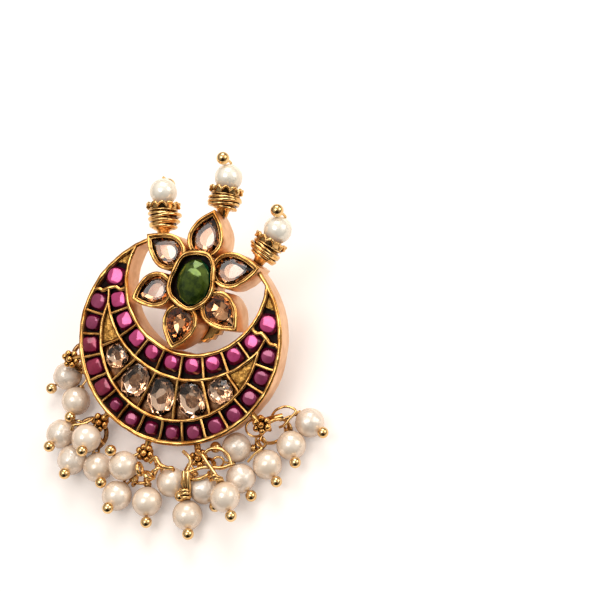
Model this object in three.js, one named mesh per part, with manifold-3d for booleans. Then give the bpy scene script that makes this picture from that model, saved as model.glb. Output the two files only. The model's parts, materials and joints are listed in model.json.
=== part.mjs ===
// A crescent stud earring with a raised flower, three finials and pearl drops, lying face up on a surface.
// The metal is modelled as it is worn (X right, Y up, Z out of the ear) and then leaned back on its post.
// Millimetres. In the exported group +Z is up and the surface is at Z = 0.
import * as THREE from 'three';
import { mergeVertices } from 'three/addons/utils/BufferGeometryUtils.js';
import Module from 'manifold-3d';

const wasm = await Module();
wasm.setup();

// ---- Driving dimensions ----

const crescent = { radius: 16, thickness: 4.6, rim: 0.7, cellDepth: 1.1 };
const hollow = { y: 8.85, radius: 10.75, rim: 0.65 };
const band = { inner: { y: 8.0, radius: 13.9 }, outer: { y: 0.2, radius: 12.5 }, wall: 0.28, divider: 0.45 };
const outerRow = { count: 15, step: 13.75, stone: 1.0, ring: 14.05 };
const innerRow = { count: 9, step: 15.3, stone: 1.0, ring: 12.55 };
const middleRow = { y: 4, count: 5, step: 21 };
const divider = { rimX: 15.2, rimY: 3.1, hollowX: 10.3, hollowY: 4.85, joinX: 13.0, joinY: 3.8 };
const hornStone = { x: 12.6, y: 6.0, radius: 1.5 };
const middleStones = [
  { across: 1.7, deep: 1.7, ring: 12.85 },
  { across: 1.85, deep: 2.3, ring: 13.0 },
  { across: 1.85, deep: 2.55, ring: 13.08 },
  { across: 1.85, deep: 2.3, ring: 13.0 },
  { across: 1.7, deep: 1.7, ring: 12.85 },
];

const flower = { y: 8.9, height: 1.4, wall: 0.75, pocket: 1.1, ledge: 0.45 };
const petals = [
  { name: 'top', angle: 90, length: 11, middle: 6.3, width: 2.8, bend: 0 },
  { name: 'upper_right', angle: 31, length: 10.5, middle: 5.7, width: 2.75, bend: -0.8 },
  { name: 'lower_right', angle: -30.3, length: 10.3, middle: 5.8, width: 2.7, bend: 0 },
  { name: 'bottom', angle: -90, length: 10.8, middle: 6.3, width: 2.75, bend: 0 },
  { name: 'lower_left', angle: 210, length: 10.1, middle: 5.8, width: 2.7, bend: 0.4 },
  { name: 'upper_left', angle: 149, length: 10.2, middle: 5.7, width: 2.7, bend: 0.75 },
];
const oval = { halfWidth: 3.45, halfHeight: 4.65, wall: 0.75, lift: 0.3 };

const post = { y: 4.6, radius: 0.5, length: 7.3 };
const nut = { radius: 5.1, teeth: 24, toothDepth: 0.35, rimThickness: 2.2, hubRadius: 2.6, hubHeight: 0.8,
  bore: 0.66 };

const finial = { z: -2.2, root: -1.2, stem: 0.35, gap: 0.1, foot: 1.6, neck: 2.25, waist: 1.85, flare: 0.95,
  lip: 2.6, pearl: 2.1, bendAt: 2.55, bentStem: 0.22 };

// x and y are the foot of each finial, beside its petal's tip. The wrapped neck and cap reach up to lipAt, the
// pearl sits at pearlAt, and the pin bends over the pearl to its ball.
const finials = [
  { name: 'left', x: -8.1, y: 14.8, lean: 18, lipAt: 3.7, pearlAt: 5.95,
    ball: { lean: 25, rise: -60, reach: 3.4 } },
  { name: 'middle', x: 0.15, y: 20.4, lean: 8, lipAt: 2.9, pearlAt: 4.95,
    ball: { lean: 27, rise: 29, reach: 3.05 } },
  { name: 'right', x: 8.05, y: 15.0, lean: -14, lipAt: 2.9, pearlAt: 4.95,
    ball: { lean: 11, rise: 31, reach: 3.05 } },
];

const pearl = { radius: 2.2, bore: 0.6 };
const ball = 0.85;
const pin = { radius: 0.28, ballAt: 3.12, neckAt: 2.75 };
const loop = { ring: 18.3, z: -2.6, radius: 0.95, wire: 0.27 };
const rosette = { ring: 18.0, z: -1.2, radius: 1.4, height: 1.0 };
const jumpRing = { radius: 2.3, wire: 0.35 };
const clearance = 0.3;

// Each cluster hangs on one loop of the rim. angle is the loop's place on the rim, from straight down, and
// swing turns its jump ring behind the crescent. Each of its drops has the place of its eye round the ring,
// the place of its pearl on the surface, and the way its pin points from the eye to the ball.
const onSurface = pearl.radius - 0.1;
const clusters = [
  { name: 'left', angle: -62.5, swing: 127, drops: [
    { eye: 150, x: -17.0, y: -9.3, z: onSurface, heading: -120, rise: 0 },
    { eye: 110, x: -13.9, y: -12.6, z: onSurface, heading: -75, rise: 22 },
    { eye: 60, x: -13.3, y: 0.4, z: onSurface, heading: 80, rise: 0 },
  ] },
  { name: 'lower_left', angle: -27.5, swing: -8, drops: [
    { eye: -90, x: -13.8, y: -18.1, z: onSurface, heading: -93, rise: 34 },
    { eye: 80, x: -8.8, y: -17.8, z: 4.4, heading: -64, rise: 40 },
    { eye: 160, x: -10.4, y: -21.2, z: onSurface, heading: -76, rise: 36 },
    { eye: 110, x: -6.1, y: -20.9, z: onSurface, heading: -47, rise: 25 },
  ] },
  { name: 'bottom', angle: 0, swing: -19, drops: [
    { eye: 180, x: -1.8, y: -19.6, z: 3.9, heading: 150, rise: 40 },
    { eye: -150, x: -1.5, y: -23.8, z: onSurface, heading: -84, rise: 42 },
    { eye: 140, x: 3.2, y: -23.1, z: onSurface, heading: -66, rise: 8 },
    { eye: 60, x: 5.5, y: -19.2, z: onSurface, heading: -33, rise: 22 },
  ] },
  { name: 'lower_right', angle: 27.5, swing: -55, drops: [
    { eye: -130, x: 9.7, y: -22.9, z: onSurface, heading: -60, rise: 20 },
    { eye: -60, x: 10.5, y: -18.5, z: onSurface, heading: -35, rise: 0 },
    { eye: 130, x: 14.6, y: -18.9, z: 4.8, heading: -49, rise: 11 },
    { eye: 60, x: 15.1, y: -15.2, z: onSurface, heading: -38, rise: 2 },
  ] },
  { name: 'right', angle: 62.5, swing: 56, drops: [
    { eye: -90, x: 12.75, y: -11.15, z: onSurface, heading: -160, rise: 8 },
    { eye: -60, x: 18.1, y: -12.0, z: onSurface, heading: -41, rise: 11 },
    { eye: 120, x: 20.4, y: -8.1, z: onSurface, heading: -55, rise: 19 },
    { eye: 75, x: 21.8, y: -3.9, z: onSurface, heading: -23, rise: 24 },
  ] },
];

// ---- Materials ----

const gold = new THREE.MeshStandardMaterial({ color: 0xc8903a, metalness: 1, roughness: 0.32 });
const champagne = new THREE.MeshStandardMaterial({ color: 0xd8c2a8, metalness: 0.1, roughness: 0.05 });
const green = new THREE.MeshStandardMaterial({ color: 0x2f5a20, metalness: 0.1, roughness: 0.05 });
const cream = new THREE.MeshStandardMaterial({ color: 0xefe6dc, metalness: 0, roughness: 0.25 });

// ---- Outlines ----

const radians = THREE.MathUtils.degToRad;
const back = -crescent.thickness;
const crescentCircle = { y: 0, radius: crescent.radius };

// Where a ray from (0, fromY) meets a circle centred on the middle line. The angle is from straight down, and
// shift moves the ray sideways.
function rayHit(fromY, angle, shift, circle) {
  const along = new THREE.Vector2(Math.sin(angle), -Math.cos(angle));
  const start = new THREE.Vector2(Math.cos(angle) * shift, Math.sin(angle) * shift + fromY - circle.y);
  const reach = start.dot(along);
  const distance = Math.sqrt(reach * reach - start.lengthSq() + circle.radius ** 2) - reach;
  return new THREE.Vector2(start.x + along.x * distance, start.y + along.y * distance + circle.y);
}

// A stretch of a circle, seen from (0, fromY), narrowed at each end by half a divider.
function arc(fromY, circle, start, end, steps, narrow = 0) {
  const points = [];
  for (let i = 0; i <= steps; i++) {
    const t = i / steps;
    const shift = narrow * (1 - 2 * t) * Math.sign(end - start);
    points.push(rayHit(fromY, THREE.MathUtils.lerp(start, end, t), shift, circle));
  }
  return points;
}

function inset(circle, amount) {
  return { y: circle.y, radius: circle.radius + amount };
}

// The angles, from straight down, at which two circles on the middle line cross, seen from (0, fromY).
function crossing(fromY, a, b) {
  const y = (a.radius ** 2 - b.radius ** 2 + b.y ** 2 - a.y ** 2) / (2 * (b.y - a.y));
  const x = Math.sqrt(a.radius ** 2 - (y - a.y) ** 2);
  return { x, y, angle: Math.atan2(x, fromY - y) };
}

const horn = crossing(0, crescentCircle, hollow);
const bandTip = crossing(0, band.outer, band.inner);

function crescentOutline() {
  const hornFromHollow = Math.atan2(horn.x, hollow.y - horn.y);
  return [
    ...arc(0, crescentCircle, -horn.angle, horn.angle, 48),
    ...arc(hollow.y, hollow, hornFromHollow, -hornFromHollow, 32).slice(1, -1),
  ];
}

function bandCell(fromY, inner, outer, start, end, steps) {
  const half = band.divider / 2;
  return [...arc(fromY, outer, start, end, steps, half), ...arc(fromY, inner, end, start, steps, half)];
}

const rimInside = inset(crescentCircle, -crescent.rim);
const hollowOutside = inset(hollow, hollow.rim);

function mirrored(points) {
  return points.map((p) => new THREE.Vector2(-p.x, p.y)).reverse();
}

// The magenta cells: the outer row and the inner row, whose end cells close on the horn's divider.
function magentaCells() {
  const cells = [];
  const innerOfOuterRow = inset(band.outer, band.wall);
  const outerOfInnerRow = inset(band.inner, -band.wall);
  for (let i = 3 - outerRow.count; i <= outerRow.count - 3; i += 2) {
    const middle = radians(i * outerRow.step / 2);
    cells.push(bandCell(0, innerOfOuterRow, rimInside, middle - radians(outerRow.step / 2),
      middle + radians(outerRow.step / 2), 2));
  }
  for (let i = 3 - innerRow.count; i <= innerRow.count - 3; i += 2) {
    const middle = radians(i * innerRow.step / 2);
    cells.push(bandCell(hollow.y, hollowOutside, outerOfInnerRow, middle - radians(innerRow.step / 2),
      middle + radians(innerRow.step / 2), 2));
  }
  const gap = band.divider / 2;
  const outerStart = radians((outerRow.count - 2) * outerRow.step / 2);
  const outerEnd = [
    ...arc(0, innerOfOuterRow, bandTip.angle, outerStart + 0.02, 3),
    ...arc(0, rimInside, outerStart + 0.015, Math.atan2(divider.rimX, -divider.rimY) - 0.03, 3),
    new THREE.Vector2(divider.joinX + 0.25, divider.joinY - 0.35),
  ];
  const innerStart = radians((innerRow.count - 2) * innerRow.step / 2);
  const innerEnd = [
    ...arc(hollow.y, outerOfInnerRow, innerStart + 0.018, Math.atan2(bandTip.x, hollow.y - bandTip.y), 3),
    new THREE.Vector2(divider.joinX - 0.35, divider.joinY - 0.05),
    new THREE.Vector2(divider.hollowX + 0.75, divider.hollowY - gap - 0.35),
    ...arc(hollow.y, hollowOutside, Math.atan2(divider.hollowX, hollow.y - divider.hollowY) - 0.03,
      innerStart + 0.02, 3),
  ];
  cells.push(outerEnd, mirrored(outerEnd), innerEnd, mirrored(innerEnd));
  return cells;
}

// The band between the two rows of magenta stones: five stone cells and a filler triangle at each end.
function middleCells() {
  const inner = inset(band.inner, band.wall);
  const outer = inset(band.outer, -band.wall);
  const cells = [];
  for (let i = 0; i < middleRow.count; i++) {
    const middle = (i - (middleRow.count - 1) / 2) * middleRow.step;
    cells.push(bandCell(middleRow.y, inner, outer, radians(middle - middleRow.step / 2),
      radians(middle + middleRow.step / 2), 3));
  }
  const start = radians(middleRow.count * middleRow.step / 2);
  const tip = crossing(middleRow.y, outer, inner);
  const filler = [
    ...arc(middleRow.y, outer, start + 0.02, tip.angle - 0.03, 4),
    ...arc(middleRow.y, inner, tip.angle - 0.06, start + 0.02, 4),
  ];
  return { stones: cells, fillers: [filler, mirrored(filler)] };
}

// The cell of the horn's round stone and, above it, the recess of the filler that runs up to the horn's tip.
function hornCells() {
  const top = crossing(0, rimInside, hollowOutside);
  const split = { outer: radians(122), hollow: Math.atan2(11.25, hollow.y - 8.3) };
  const foot = {
    outer: Math.atan2(divider.rimX, -divider.rimY),
    hollow: Math.atan2(divider.hollowX, hollow.y - divider.hollowY),
  };
  const stone = [
    ...arc(0, rimInside, foot.outer + 0.03, split.outer, 4),
    ...arc(hollow.y, hollowOutside, split.hollow, foot.hollow + 0.03, 4),
    new THREE.Vector2(divider.joinX, divider.joinY + 0.35),
  ];
  const filler = [
    ...arc(0, rimInside, split.outer + 0.03, top.angle - 0.04, 4),
    ...arc(hollow.y, hollowOutside, Math.atan2(top.x, hollow.y - top.y) - 0.06, split.hollow + 0.03, 4),
  ];
  return { stones: [stone, mirrored(stone)], fillers: [filler, mirrored(filler)] };
}

// A pear, round at the flower's middle and pointed at its tip, along +X. The bend moves the tip sideways.
function pear({ length, middle, width, bend }, grow) {
  const w = width + grow;
  const points = [];
  for (let i = 0; i <= 5; i++) {
    const a = radians(90 + i * 36);
    points.push(new THREE.Vector2(middle + w * Math.cos(a), w * Math.sin(a)));
  }
  const tip = new THREE.Vector2(length + grow * 1.6, bend);
  const bulge = (middle + tip.x) / 2;
  const lower = new THREE.QuadraticBezierCurve(points[5], new THREE.Vector2(bulge, -w), tip);
  const upper = new THREE.QuadraticBezierCurve(tip, new THREE.Vector2(bulge, w), points[0]);
  points.push(...lower.getPoints(4).slice(1), ...upper.getPoints(4).slice(1, -1));
  return points;
}

function placedPear(petal, grow) {
  const angle = radians(petal.angle);
  const middle = new THREE.Vector2(0, flower.y);
  return pear(petal, grow).map((p) => p.rotateAround(new THREE.Vector2(), angle).add(middle));
}

function ellipse(y, halfWidth, halfHeight, steps) {
  return new THREE.EllipseCurve(0, y, halfWidth, halfHeight).getPoints(steps).slice(0, -1);
}

// ---- Solids ----

function toManifold(geometry) {
  const bare = geometry.index ? geometry.toNonIndexed() : geometry.clone();
  for (const name of Object.keys(bare.attributes)) if (name !== 'position') bare.deleteAttribute(name);
  const merged = mergeVertices(bare, 1e-5);
  return new wasm.Manifold(new wasm.Mesh({
    numProp: 3,
    vertProperties: new Float32Array(merged.attributes.position.array),
    triVerts: new Uint32Array(merged.index.array),
  }));
}

function toGeometry(manifold) {
  const { vertProperties, triVerts } = manifold.getMesh();
  const geometry = new THREE.BufferGeometry();
  geometry.setAttribute('position', new THREE.BufferAttribute(vertProperties, 3));
  geometry.setIndex(new THREE.BufferAttribute(triVerts, 1));
  geometry.computeVertexNormals();
  return geometry;
}

function join(solids) {
  return solids.reduce((whole, next) => whole.add(next));
}

function prism(points, bottom, top, holes = []) {
  const shape = new THREE.Shape(points);
  shape.holes = holes.map((hole) => new THREE.Path(hole));
  const geometry = new THREE.ExtrudeGeometry(shape, { depth: top - bottom, bevelEnabled: false, steps: 1 });
  return toManifold(geometry.translate(0, 0, bottom));
}

// A closed stack of like outlines, each at its own height.
function stack(levels) {
  const count = levels[0].points.length;
  const positions = [];
  for (const { points, z } of levels) for (const p of points) positions.push(p.x, p.y, z);
  const index = [];
  for (let level = 0; level < levels.length - 1; level++) {
    for (let i = 0; i < count; i++) {
      const a = level * count + i;
      const b = level * count + (i + 1) % count;
      index.push(a, b, b + count, a, b + count, a + count);
    }
  }
  const last = (levels.length - 1) * count;
  for (let i = 1; i < count - 1; i++) index.push(0, i + 1, i, last, last + i, last + i + 1);
  const geometry = new THREE.BufferGeometry();
  geometry.setAttribute('position', new THREE.Float32BufferAttribute(positions, 3));
  geometry.setIndex(index);
  return geometry;
}

function scaled(points, factor) {
  const centre = points.reduce((sum, p) => sum.add(p), new THREE.Vector2()).divideScalar(points.length);
  return points.map((p) => p.clone().sub(centre).multiplyScalar(factor).add(centre));
}

// A flat-topped faceted stone in the given outline.
function cutStone(points, bottom, top, table = 0.68) {
  const girdle = THREE.MathUtils.lerp(bottom, top, 0.45);
  return stack([
    { points: scaled(points, 0.88), z: bottom },
    { points, z: girdle },
    { points: scaled(points, table), z: top },
  ]);
}

function along(geometry, from, direction) {
  const up = new THREE.Vector3(0, 1, 0);
  const turn = new THREE.Quaternion().setFromUnitVectors(up, direction.clone().normalize());
  return geometry.applyQuaternion(turn).translate(from.x, from.y, from.z);
}

function rod(from, to, radius, sides) {
  const direction = to.clone().sub(from);
  const geometry = new THREE.CylinderGeometry(radius, radius, direction.length(), sides);
  return toManifold(along(geometry, from.clone().lerp(to, 0.5), direction));
}

function sphere(centre, radius, around, down) {
  return toManifold(new THREE.SphereGeometry(radius, around, down).translate(centre.x, centre.y, centre.z));
}

// A torus whose hole runs along the given axis.
function torus(centre, axis, radius, wire, around, sides) {
  const geometry = new THREE.TorusGeometry(radius, wire, sides, around);
  const up = new THREE.Vector3(0, 0, 1);
  const turn = new THREE.Quaternion().setFromUnitVectors(up, axis.clone().normalize());
  return toManifold(geometry.applyQuaternion(turn).translate(centre.x, centre.y, centre.z));
}

// A pearl drilled along the way its pin points, with flats at the drill's two mouths.
function drilledPearl(centre, direction, radius, around, rings) {
  const mouth = Math.asin(pearl.bore / radius);
  const profile = [];
  for (let i = 0; i <= rings; i++) {
    const a = THREE.MathUtils.lerp(mouth, Math.PI - mouth, i / rings);
    profile.push(new THREE.Vector2(radius * Math.sin(a), -radius * Math.cos(a)));
  }
  profile.push(profile[0].clone());
  return along(new THREE.LatheGeometry(profile, around), centre, direction);
}

// ---- The crescent, the flower and all that is soldered to them ----

function crescentSolid() {
  const middle = middleCells();
  const horns = hornCells();
  const stoneCells = [...magentaCells(), ...middle.stones, ...horns.stones];
  const fillers = [...middle.fillers, ...horns.fillers];
  return prism(crescentOutline(), back, 0)
    .subtract(join(stoneCells.map((cell) => prism(cell, -crescent.cellDepth, 1))))
    .subtract(join(fillers.map((cell) => prism(cell, -crescent.cellDepth * 0.4, 1))));
}

function smallStone(x, y, radius) {
  const outline = new THREE.EllipseCurve(x, y, radius, radius).getPoints(6).slice(0, -1);
  return toManifold(stack([
    { points: outline, z: -crescent.cellDepth - 0.1 },
    { points: scaled(outline, 0.75), z: -crescent.cellDepth * 0.3 },
  ]));
}

// The small magenta stones, each in its cell, as one with the setting.
function magentaStones() {
  const stones = [];
  for (let i = 1 - outerRow.count; i < outerRow.count; i += 2) {
    const a = radians(i * outerRow.step / 2);
    stones.push(smallStone(outerRow.ring * Math.sin(a), -outerRow.ring * Math.cos(a), outerRow.stone));
  }
  for (let i = 1 - innerRow.count; i < innerRow.count; i += 2) {
    const a = radians(i * innerRow.step / 2);
    const y = hollow.y - innerRow.ring * Math.cos(a);
    stones.push(smallStone(innerRow.ring * Math.sin(a), y, innerRow.stone));
  }
  for (const side of [-1, 1]) stones.push(smallStone(side * hornStone.x, hornStone.y, hornStone.radius));
  return stones;
}

function petalTip(petal) {
  const tip = new THREE.Vector2(petal.length, petal.bend).rotateAround(new THREE.Vector2(), radians(petal.angle));
  return tip.add(new THREE.Vector2(0, flower.y));
}

// Solder between a petal's tip and the crescent's edge beside it.
function solderTabs() {
  const z = -crescent.thickness / 2;
  return petals.filter((petal) => Math.abs(petal.angle) !== 90).map((petal) => {
    const tip = petalTip(petal);
    const inward = tip.clone().sub(new THREE.Vector2(0, flower.y)).setLength(1.5);
    const side = Math.sign(tip.x);
    const target = tip.y > flower.y
      ? new THREE.Vector2(side * (horn.x + 0.2), horn.y - 0.7)
      : tip.clone().add(inward);
    const start = tip.clone().sub(inward);
    return rod(new THREE.Vector3(start.x, start.y, z), new THREE.Vector3(target.x, target.y, z), 0.8, 8);
  });
}

// Six deep bezels, open at the back, each with a ledge under its stone, round the solid oval one.
function flowerSolid() {
  const top = flower.height;
  const floor = top - flower.pocket;
  const wellInset = -flower.wall - flower.ledge;
  const bodies = join(petals.map((petal) => prism(placedPear(petal, 0), back, top)));
  const pockets = join(petals.map((petal) => prism(placedPear(petal, -flower.wall), floor, top + 1)
    .add(prism(placedPear(petal, wellInset), back - 1, floor + 0.1))));
  const rim = ellipse(flower.y, oval.halfWidth, oval.halfHeight, 24);
  const seat = ellipse(flower.y, oval.halfWidth - oval.wall, oval.halfHeight - oval.wall, 24);
  return bodies.subtract(pockets)
    .add(prism(rim, back, top + oval.lift))
    .subtract(prism(seat, floor, top + 2));
}

function leaning(lean, rise = 0) {
  const flat = Math.cos(radians(rise));
  return new THREE.Vector3(-Math.sin(radians(lean)) * flat, Math.cos(radians(lean)) * flat, Math.sin(radians(rise)));
}

function finialFrame({ x, y, lean }) {
  const base = new THREE.Vector3(x, y, finial.z);
  const direction = leaning(lean);
  return { base, direction, at: (s) => base.clone().addScaledVector(direction, s) };
}

function finialStem(row) {
  const frame = finialFrame(row);
  const bend = frame.at(row.pearlAt + finial.bendAt);
  const end = frame.at(row.pearlAt).addScaledVector(leaning(row.ball.lean, row.ball.rise), row.ball.reach);
  return join([
    rod(frame.at(finial.root), bend, finial.stem, 6),
    rod(bend, end, finial.bentStem, 6),
    sphere(end, ball, 6, 4),
  ]);
}

function rimPoint(angle, ring, z) {
  const a = radians(angle);
  return new THREE.Vector3(ring * Math.sin(a), -ring * Math.cos(a), z);
}

function tangent(angle) {
  return new THREE.Vector3(Math.cos(radians(angle)), Math.sin(radians(angle)), 0);
}

// A rosette soldered to the rim, with a small loop behind it that holds the jump ring.
function hangingLoop({ angle }) {
  const { radius, height } = rosette;
  const disc = new THREE.CylinderGeometry(radius, radius, height, 8).rotateX(Math.PI / 2);
  const at = rimPoint(angle, rosette.ring, rosette.z);
  return join([
    toManifold(disc.translate(at.x, at.y, at.z)),
    rod(rimPoint(angle, crescent.radius - 0.5, rosette.z), at, 0.5, 5),
    torus(rimPoint(angle, loop.ring, loop.z), tangent(angle), loop.radius, loop.wire, 8, 4),
  ]);
}

function postSolid() {
  const root = new THREE.Vector3(0, post.y, back + 0.5);
  return rod(root, new THREE.Vector3(0, post.y, back - post.length), post.radius, 10);
}

function settingSolid() {
  return join([
    crescentSolid(),
    ...magentaStones(),
    ...solderTabs(),
    flowerSolid(),
    ...finials.map(finialStem),
    ...clusters.map(hangingLoop),
    postSolid(),
  ]);
}

// ---- Stones of the flower and the middle row ----

// A petal's stone, which stops short of the oval's rim at its inner end.
function petalStone(petal) {
  const floor = flower.height - flower.pocket;
  const whole = cutStone(placedPear(petal, -flower.wall - 0.2), floor + 0.15, flower.height - 0.15);
  const rim = ellipse(flower.y, oval.halfWidth + 0.2, oval.halfHeight + 0.2, 24);
  return toManifold(whole).subtract(prism(rim, back, flower.height + 2));
}

function centreStone() {
  const floor = flower.height - flower.pocket;
  const outline = ellipse(flower.y, oval.halfWidth - oval.wall - 0.2, oval.halfHeight - oval.wall - 0.2, 20);
  return stack([
    { points: scaled(outline, 0.9), z: floor + 0.15 },
    { points: outline, z: flower.height - 0.3 },
    { points: scaled(outline, 0.78), z: flower.height + 0.5 },
    { points: scaled(outline, 0.5), z: flower.height + 0.9 },
  ]);
}

function middleStone(index) {
  const a = radians((index - (middleRow.count - 1) / 2) * middleRow.step);
  const { across, deep, ring } = middleStones[index];
  const outline = new THREE.EllipseCurve(0, 0, across, deep).getPoints(14).slice(0, -1)
    .map((p) => p.rotateAround(new THREE.Vector2(), a)
      .add(new THREE.Vector2(ring * Math.sin(a), middleRow.y - ring * Math.cos(a))));
  return cutStone(outline, -crescent.cellDepth + 0.15, -0.15);
}

// ---- Screw nut ----

// A round nut with saw-like teeth on its rim, a hub behind it and a bore for the post.
function nutSolid() {
  const outline = [];
  for (let i = 0; i < nut.teeth; i++) {
    const angle = 2 * Math.PI * i / nut.teeth;
    const toothEnd = angle + 1.3 * Math.PI / nut.teeth;
    const root = nut.radius - nut.toothDepth;
    outline.push(new THREE.Vector2(nut.radius * Math.cos(angle), nut.radius * Math.sin(angle)));
    outline.push(new THREE.Vector2(root * Math.cos(toothEnd), root * Math.sin(toothEnd)));
  }
  const front = back - clearance;
  const rimBack = front - nut.rimThickness;
  const bore = ellipse(0, nut.bore, nut.bore, 12);
  const hub = ellipse(0, nut.hubRadius, nut.hubRadius, 20);
  return prism(outline, rimBack, front)
    .add(prism(hub, rimBack - nut.hubHeight, rimBack + 0.1))
    .subtract(prism(bore, rimBack - nut.hubHeight - 1, front + 1))
    .translate([0, post.y, 0]);
}

// ---- Finials ----

// The wrapped neck and the flared cap, turned round a bore that clears the stem.
function finialCap(row) {
  const { foot, neck, waist, flare, lip, gap, stem } = finial;
  const bore = stem + 0.25;
  const capFoot = row.lipAt - flare;
  const profile = [
    [bore, gap], [foot, gap], [neck, gap + 0.7], [neck, capFoot - 0.4], [waist, capFoot],
    [lip, row.lipAt], [lip - 0.35, row.lipAt], [bore + 0.6, capFoot + 0.3], [bore, capFoot + 0.3], [bore, gap],
  ].map(([radius, height]) => new THREE.Vector2(radius, height));
  const frame = finialFrame(row);
  return along(new THREE.LatheGeometry(profile, 12), frame.base, frame.direction);
}

function finialPearl(row) {
  const frame = finialFrame(row);
  return drilledPearl(frame.at(row.pearlAt), frame.direction, finial.pearl, 10, 4);
}

// ---- Drops, placed on the surface ----

// Leaning back on its post, the crescent's lower edge and the post's end touch the surface together.
const lean = Math.atan2(post.length, crescent.radius + post.y - post.radius);
const edgeHeight = crescent.radius * Math.sin(lean) + crescent.thickness * Math.cos(lean);
const leaned = new THREE.Matrix4().makeRotationX(lean).setPosition(0, 0, edgeHeight);

// The jump ring's middle and the two directions that span it, as it lies.
function ringFrame({ angle, swing }) {
  const outward = rimPoint(angle, 1, 0).multiplyScalar(Math.cos(radians(swing)));
  const hang = outward.add(new THREE.Vector3(0, 0, -Math.sin(radians(swing))));
  const centre = rimPoint(angle, loop.ring, loop.z).addScaledVector(hang, jumpRing.radius);
  return {
    centre: centre.applyMatrix4(leaned),
    hang: hang.transformDirection(leaned),
    side: tangent(angle).transformDirection(leaned),
  };
}

function eyePlace(ring, eye) {
  const a = radians(eye);
  return ring.centre.clone()
    .addScaledVector(ring.hang, -jumpRing.radius * Math.cos(a))
    .addScaledVector(ring.side, jumpRing.radius * Math.sin(a));
}

function dropFrame(drop) {
  const heading = radians(drop.heading);
  const rise = radians(drop.rise);
  const direction = new THREE.Vector3(
    Math.cos(heading) * Math.cos(rise), Math.sin(heading) * Math.cos(rise), Math.sin(rise));
  const centre = new THREE.Vector3(drop.x, drop.y, drop.z);
  return { centre, direction, at: (s) => centre.clone().addScaledVector(direction, s) };
}

// A headpin: a ball, a straight pin through the pearl, and a bent neck that runs on to the jump ring.
function headpin(drop, ring) {
  const frame = dropFrame(drop);
  const neck = frame.at(-pin.neckAt);
  return join([
    sphere(frame.at(pin.ballAt), ball, 6, 4),
    rod(frame.at(pin.ballAt), frame.at(-pin.neckAt - pin.radius * 0.5), pin.radius, 4),
    rod(neck, eyePlace(ring, drop.eye), pin.radius, 4),
  ]);
}

function ringAndPins(cluster) {
  const ring = ringFrame(cluster);
  const axis = ring.side.clone().cross(ring.hang);
  return join([
    torus(ring.centre, axis, jumpRing.radius, jumpRing.wire, 12, 4),
    ...cluster.drops.map((drop) => headpin(drop, ring)),
  ]);
}

function dropPearl(drop) {
  const frame = dropFrame(drop);
  return drilledPearl(frame.centre, frame.direction, pearl.radius, 10, 4);
}

// ---- Assembly ----

function piece(name, shape, material) {
  const geometry = shape.isBufferGeometry ? shape : toGeometry(shape);
  const mesh = new THREE.Mesh(geometry, material);
  mesh.name = name;
  return mesh;
}

const worn = new THREE.Group();
worn.add(piece('setting', settingSolid(), gold));
worn.add(piece('screw_nut', nutSolid(), gold));
worn.add(piece('centre_stone', centreStone(), green));
for (const petal of petals) worn.add(piece(`petal_stone_${petal.name}`, petalStone(petal), champagne));
for (let i = 0; i < middleRow.count; i++) {
  const kind = i === 0 || i === middleRow.count - 1 ? 'round_stone' : 'oval_stone';
  worn.add(piece(`${kind}_${i + 1}`, middleStone(i), champagne));
}
for (const row of finials) {
  worn.add(piece(`finial_cap_${row.name}`, finialCap(row), gold));
  worn.add(piece(`finial_pearl_${row.name}`, finialPearl(row), cream));
}
worn.rotation.x = lean;
worn.position.z = edgeHeight;

const lying = new THREE.Group();
lying.add(worn);
for (const cluster of clusters) {
  lying.add(piece(`ring_and_pins_${cluster.name}`, ringAndPins(cluster), gold));
  cluster.drops.forEach((drop, i) => {
    lying.add(piece(`drop_pearl_${cluster.name}_${i + 1}`, dropPearl(drop), cream));
  });
}

// The origin is the middle of the whole, on the surface.
const earring = new THREE.Group();
earring.add(lying);
earring.updateMatrixWorld(true);
const box = new THREE.Box3().setFromObject(earring, true);
const middle = box.getCenter(new THREE.Vector3());
lying.position.set(-middle.x, -middle.y, -box.min.z);

export default earring;
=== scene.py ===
import json
import math
import random
import bmesh
import bpy
from mathutils import Matrix, Vector, noise


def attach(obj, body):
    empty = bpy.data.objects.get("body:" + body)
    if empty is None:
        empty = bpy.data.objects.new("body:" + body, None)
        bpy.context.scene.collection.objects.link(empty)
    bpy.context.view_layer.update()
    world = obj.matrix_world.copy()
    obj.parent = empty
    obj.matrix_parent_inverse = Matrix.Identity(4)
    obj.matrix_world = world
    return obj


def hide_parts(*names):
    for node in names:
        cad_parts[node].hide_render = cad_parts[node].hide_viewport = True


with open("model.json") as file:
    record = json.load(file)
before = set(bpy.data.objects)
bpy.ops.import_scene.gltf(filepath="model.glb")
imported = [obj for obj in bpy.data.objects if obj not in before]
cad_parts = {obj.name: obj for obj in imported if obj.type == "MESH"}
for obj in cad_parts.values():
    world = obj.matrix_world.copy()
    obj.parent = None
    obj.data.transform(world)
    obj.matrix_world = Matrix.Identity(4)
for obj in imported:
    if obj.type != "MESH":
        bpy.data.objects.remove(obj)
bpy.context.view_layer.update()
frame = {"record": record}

# Sizes are in millimetres. The metal and its stones are shaped as the earring is worn, x to the right, y up and
# z out of the ear, and are then leaned back on the post. The drops are shaped where they lie.
print("earring: placing")

# the same noise on every run
noiseSeed = 7
noise.seed_set(noiseSeed)

millimetre = 0.001
crescent = {"radius": 16, "thickness": 4.6, "rim": 0.7, "rimCrown": 0.24, "cellDepth": 1.1, "plateInset": 0.1,
            "plateLift": 0.02, "arcStep": 0.6}
hollow = {"y": 8.85, "radius": 10.75, "rim": 0.65}
post = {"y": 4.6, "radius": 0.5, "length": 7.3, "intoPlate": 0.5, "threadPitch": 0.45, "threadDepth": 0.1,
        "threadStart": 0.4, "plain": 0.6, "tipBevel": (0.12, 0.15)}
back = -crescent["thickness"]

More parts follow.
